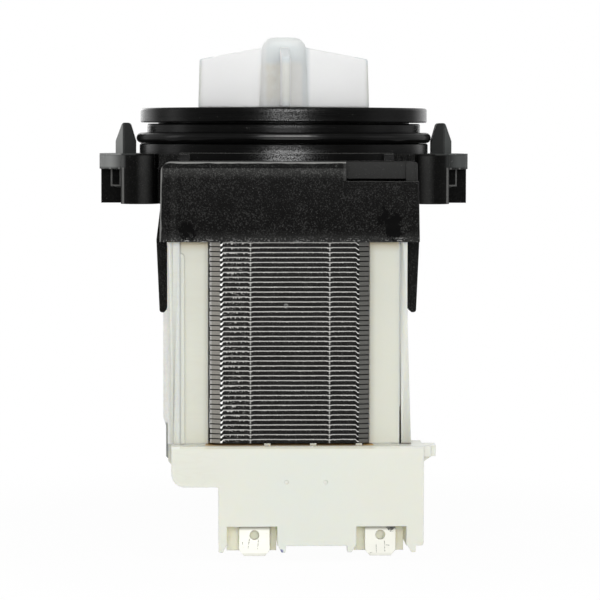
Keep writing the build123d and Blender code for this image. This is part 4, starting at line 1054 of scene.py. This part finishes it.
def trimmed_cover():
    """The coil cover with its lower left corner drawn in behind the round corner of the base."""
    outer, inner = (side * MM for side in CORNER_SIDES)
    start, radius = CORNER_TOP * MM, CORNER_RADIUS * MM
    centre = [part * MM for part in CORNER_CENTRE]
    copy = copied_node("coil_cover")
    shape = bmesh.new()
    shape.from_mesh(copy.data)
    for number in range(CUTS):
        everything = [*shape.verts, *shape.edges, *shape.faces]
        level = start - number * CUT_SPACING * MM
        bmesh.ops.bisect_plane(shape, geom=everything, plane_co=(0, 0, level), plane_no=UP)
    for vertex in shape.verts:
        x, y, z = vertex.co
        if z >= start or x >= inner or y > CORNER_BACK * MM:
            continue
        drop = min(max(centre[1] - z, 0.0), radius * 0.99)
        limit = centre[0] - math.sqrt(radius**2 - drop**2)
        if z > centre[1]:
            limit = outer + (limit - outer) * (start - z) / (start - centre[1])
        vertex.co.x = inner - (inner - x) * (inner - limit) / (inner - outer)
    shape.to_mesh(copy.data)
    shape.free()
    mesh = settled(copy)
    mesh.shade_smooth()
    mesh.set_sharp_from_angle(angle=math.radians(SHARP_ANGLE))
    return mesh


def seam_mesh():
    """Thin strips that fill the seams between the frame, the cover and the base."""
    mesh = bpy.data.meshes.new("seam_strips")
    shape = bmesh.new()
    for low, high in SEAMS:
        low, high = Vector(low) * MM, Vector(high) * MM
        place = Matrix.Translation((low + high) / 2) @ Matrix.Diagonal((*(high - low), 1.0))
        bmesh.ops.create_cube(shape, size=1.0, matrix=place)
    shape.to_mesh(mesh)
    shape.free()
    return mesh


# Mouldings, seals, tabs and inner pieces


BEARING_HOLDERS = ("front_bearing_holder", "rear_bearing_holder")
# Plain finishes of inner pieces: name, colour, texture size in mm, roughness and nodes
PLAIN_FINISHES = (
    ("can_plastic", (0.03, 0.03, 0.03), 0.3, 0.35, ("rotor_can",)),
    ("sleeve_plastic", (0.04, 0.04, 0.04), 0.3, 0.4, ("magnet_core",)),
    ("ferrite", (0.07, 0.07, 0.072), 0.1, 0.5, ("rotor_magnet",)),
    ("cap_plastic", (0.05, 0.05, 0.05), 0.3, 0.4, ("magnet_cap_front", "magnet_cap_rear")),
    ("bush_carbon", (0.09, 0.09, 0.095), 0.1, 0.4, ("front_bearing", "rear_bearing")),
    (
        "washer_plastic",
        (0.7, 0.6, 0.4),
        0.2,
        0.35,
        ("thrust_washer_front", "thrust_washer_rear", "drive_dog"),
    ),
    ("bobbin_plastic", (0.7, 0.71, 0.64), 0.4, 0.4, ("bobbin_left", "bobbin_right")),
    ("fuse_body", (0.55, 0.45, 0.3), 0.2, 0.3, ("thermal_fuse",)),
)


class PUMP_OT_mouldings(bpy.types.Operator):
    """Finish the black bracket and plate and the ivory coil shell, frame and base"""

    bl_idname = "pump.mouldings"
    bl_label = "Mouldings"

    def execute(self, context):
        settings = context.scene.pump_sizes
        colours = context.scene.pump_colours
        black = black_moulding_finish(settings, colours)
        ivory = ivory_moulding_finish(settings, colours)
        dress(black, "motor_bracket", "front_plate")
        dress(ivory, "coil_frame", "terminal_base")
        new_piece("cover_shell", trimmed_cover(), ivory, "stator", "coil_cover")
        new_piece("seam_strips", seam_mesh(), ivory, "stator")
        return {"FINISHED"}


class PUMP_OT_seals(bpy.types.Operator):
    """Finish the rubber seals and holders"""

    bl_idname = "pump.seals"
    bl_label = "Seals"

    def execute(self, context):
        dress(rubber_finish(), "o_ring", "can_seal", "shaft_seal", *BEARING_HOLDERS)
        return {"FINISHED"}


class PUMP_OT_tabs(bpy.types.Operator):
    """Finish the push-on tabs"""

    bl_idname = "pump.tabs"
    bl_label = "Push-on tabs"

    def execute(self, context):
        dress(tin_finish(context.scene.pump_colours), "terminal_left", "terminal_right")
        return {"FINISHED"}


class PUMP_OT_inside(bpy.types.Operator):
    """Finish the rotor, its can, the coils and the fuse"""

    bl_idname = "pump.inside"
    bl_label = "Inner pieces"

    def execute(self, context):
        dress(ground_steel_finish(), "rotor_shaft")
        dress(wire_finish(), "winding_left", "winding_right")
        for name, colour, size, rough, nodes in PLAIN_FINISHES:
            dress(dull_finish(name, colour, size, rough), *nodes)
        return {"FINISHED"}


# Stage


# Lamps: name, place, width and height in metres, and watts
LAMPS = (
    ("front_lamp", (0.01, -0.8, 0.05), (0.4, 0.13), 3.0),
    ("left_lamp", (-0.6, 0.08, 0.1), (0.14, 0.5), 0.8),
    ("right_lamp", (0.6, -0.1, 0.12), (0.3, 0.5), 0.5),
    ("top_lamp", (0.0, -0.2, 0.6), (0.5, 0.14), 1.1),
    ("back_lamp", (-0.1, 0.75, 0.2), (0.5, 0.4), 1.0),
)
LAMP_TARGET = (0.0, -0.02, -0.04)
ROOM_LIGHT = 0.33
PAPER = (0.93, 0.93, 0.93)
FLOOR_REACH = 3.0
# The floor's gap under the part, and its shadow's inner and outer radius, in mm
FLOOR_GAP, SHADOW = 0.1, (60, 120)
SHADOW_TONE = 0.965

# The photo's camera, solved from the part's own edges: pixels, mm and radians
PHOTO_WIDTH, PHOTO_FOCAL, SENSOR_WIDTH = 600.0, 2734.0, 36.0
CAMERA_PLACE = (-16.43, -598.2, -6.0)
CAMERA_YAW, CAMERA_PITCH, CAMERA_ROLL = 0.0335, 0.0599, 0.0014


def area_lamp(name, place, size, power):
    """A soft lamp aimed at the part."""
    lamp = bpy.data.lights.new(name, "AREA")
    lamp.shape = "RECTANGLE"
    lamp.size, lamp.size_y = size
    lamp.energy = power
    holder = bpy.data.objects.new(name, lamp)
    holder.location = place
    aim = Vector(LAMP_TARGET) - Vector(place)
    holder.rotation_euler = aim.to_track_quat("-Z", "Y").to_euler()
    bpy.context.scene.collection.objects.link(holder)


def backdrop_mask(book):
    """One for the rays that see the backdrop directly, in a reflection or through the plastic."""
    path = book.add("ShaderNodeLightPath")
    kinds = ("Is Camera Ray", "Is Glossy Ray", "Is Transmission Ray")
    return sum(Wire(book, path.outputs[kind]) for kind in kinds)


class PUMP_OT_stage(bpy.types.Operator):
    """Set up the floor, lamps and camera"""

    bl_idname = "pump.stage"
    bl_label = "Stage"

    def execute(self, context):
        scene = context.scene
        scene.view_settings.view_transform = "Standard"

        ground = CAD_BOUNDS[0][2] - FLOOR_GAP * MM
        mesh = bpy.data.meshes.new("floor")
        signs = ((-1, -1), (1, -1), (1, 1), (-1, 1))
        corners = [(x * FLOOR_REACH, y * FLOOR_REACH, ground) for x, y in signs]
        mesh.from_pydata(corners, [], [(0, 1, 2, 3)])
        floor = bpy.data.objects.new("floor", mesh)
        scene.collection.objects.link(floor)
        paint = Finish("floor_paper")
        paper = paint.wire("ShaderNodeBsdfDiffuse", None, {"Color": opaque(PAPER)})
        light = paint.wire("ShaderNodeEmission", None, {"Color": opaque(WHITE), "Strength": 1.0})
        mask = backdrop_mask(paint) * paint.ramp(paint.radius(), *SHADOW, SHADOW_TONE, 1.0)
        mixed = paint.wire("ShaderNodeMixShader", None, {0: mask, 1: paper, 2: light})
        paint.add("ShaderNodeOutputMaterial", None, {0: mixed})
        mesh.materials.append(paint.material)

        world = bpy.data.worlds.new("studio")
        world.use_nodes = True
        world.node_tree.nodes.clear()
        book = Book(world.node_tree)
        room, white = (
            book.wire("ShaderNodeBackground", None, {"Color": opaque(WHITE), "Strength": strength})
            for strength in (ROOM_LIGHT, 1.0)
        )
        both = book.wire("ShaderNodeMixShader", None, {0: backdrop_mask(book), 1: room, 2: white})
        book.add("ShaderNodeOutputWorld", None, {0: both})
        scene.world = world

        for lamp in LAMPS:
            area_lamp(*lamp)

        lens = bpy.data.cameras.new("photo_camera")
        lens.sensor_width = SENSOR_WIDTH
        lens.lens = PHOTO_FOCAL / PHOTO_WIDTH * SENSOR_WIDTH
        camera = bpy.data.objects.new("photo_camera", lens)
        camera.matrix_world = (
            Matrix.Translation([part * MM for part in CAMERA_PLACE])
            @ Matrix.Rotation(-CAMERA_YAW, 4, "Z")
            @ Matrix.Rotation(math.pi / 2 - CAMERA_PITCH, 4, "X")
            @ Matrix.Rotation(CAMERA_ROLL, 4, "Z")
        )
        scene.collection.objects.link(camera)
        scene.camera = camera
        return {"FINISHED"}


class PUMP_PT_panel(bpy.types.Panel):
    """Lists the pump's pieces, sizes and colours"""

    bl_label = "Drain Pump"
    bl_space_type = "VIEW_3D"
    bl_region_type = "UI"
    bl_category = "Drain Pump"

    def draw(self, context):
        for operator in OPERATORS:
            self.layout.operator(operator.bl_idname)
        for group in (context.scene.pump_sizes, context.scene.pump_colours):
            box = self.layout.box()
            for name in group.__annotations__:
                box.prop(group, name)


OPERATORS = (
    PUMP_OT_core,
    PUMP_OT_impeller,
    PUMP_OT_mouldings,
    PUMP_OT_seals,
    PUMP_OT_tabs,
    PUMP_OT_inside,
    PUMP_OT_stage,
)
CLASSES = (PumpSizes, PumpColours, *OPERATORS, PUMP_PT_panel)


def register():
    for cls in CLASSES:
        bpy.utils.register_class(cls)
    bpy.types.Scene.pump_sizes = bpy.props.PointerProperty(type=PumpSizes)
    bpy.types.Scene.pump_colours = bpy.props.PointerProperty(type=PumpColours)


def unregister():
    del bpy.types.Scene.pump_sizes
    del bpy.types.Scene.pump_colours
    for cls in reversed(CLASSES):
        bpy.utils.unregister_class(cls)


def main():
    """Builds all pieces and the stage."""
    register()
    bpy.ops.pump.core()
    bpy.ops.pump.impeller()
    bpy.ops.pump.mouldings()
    bpy.ops.pump.seals()
    bpy.ops.pump.tabs()
    bpy.ops.pump.inside()
    bpy.ops.pump.stage()


if __name__ == "__main__":
    main()
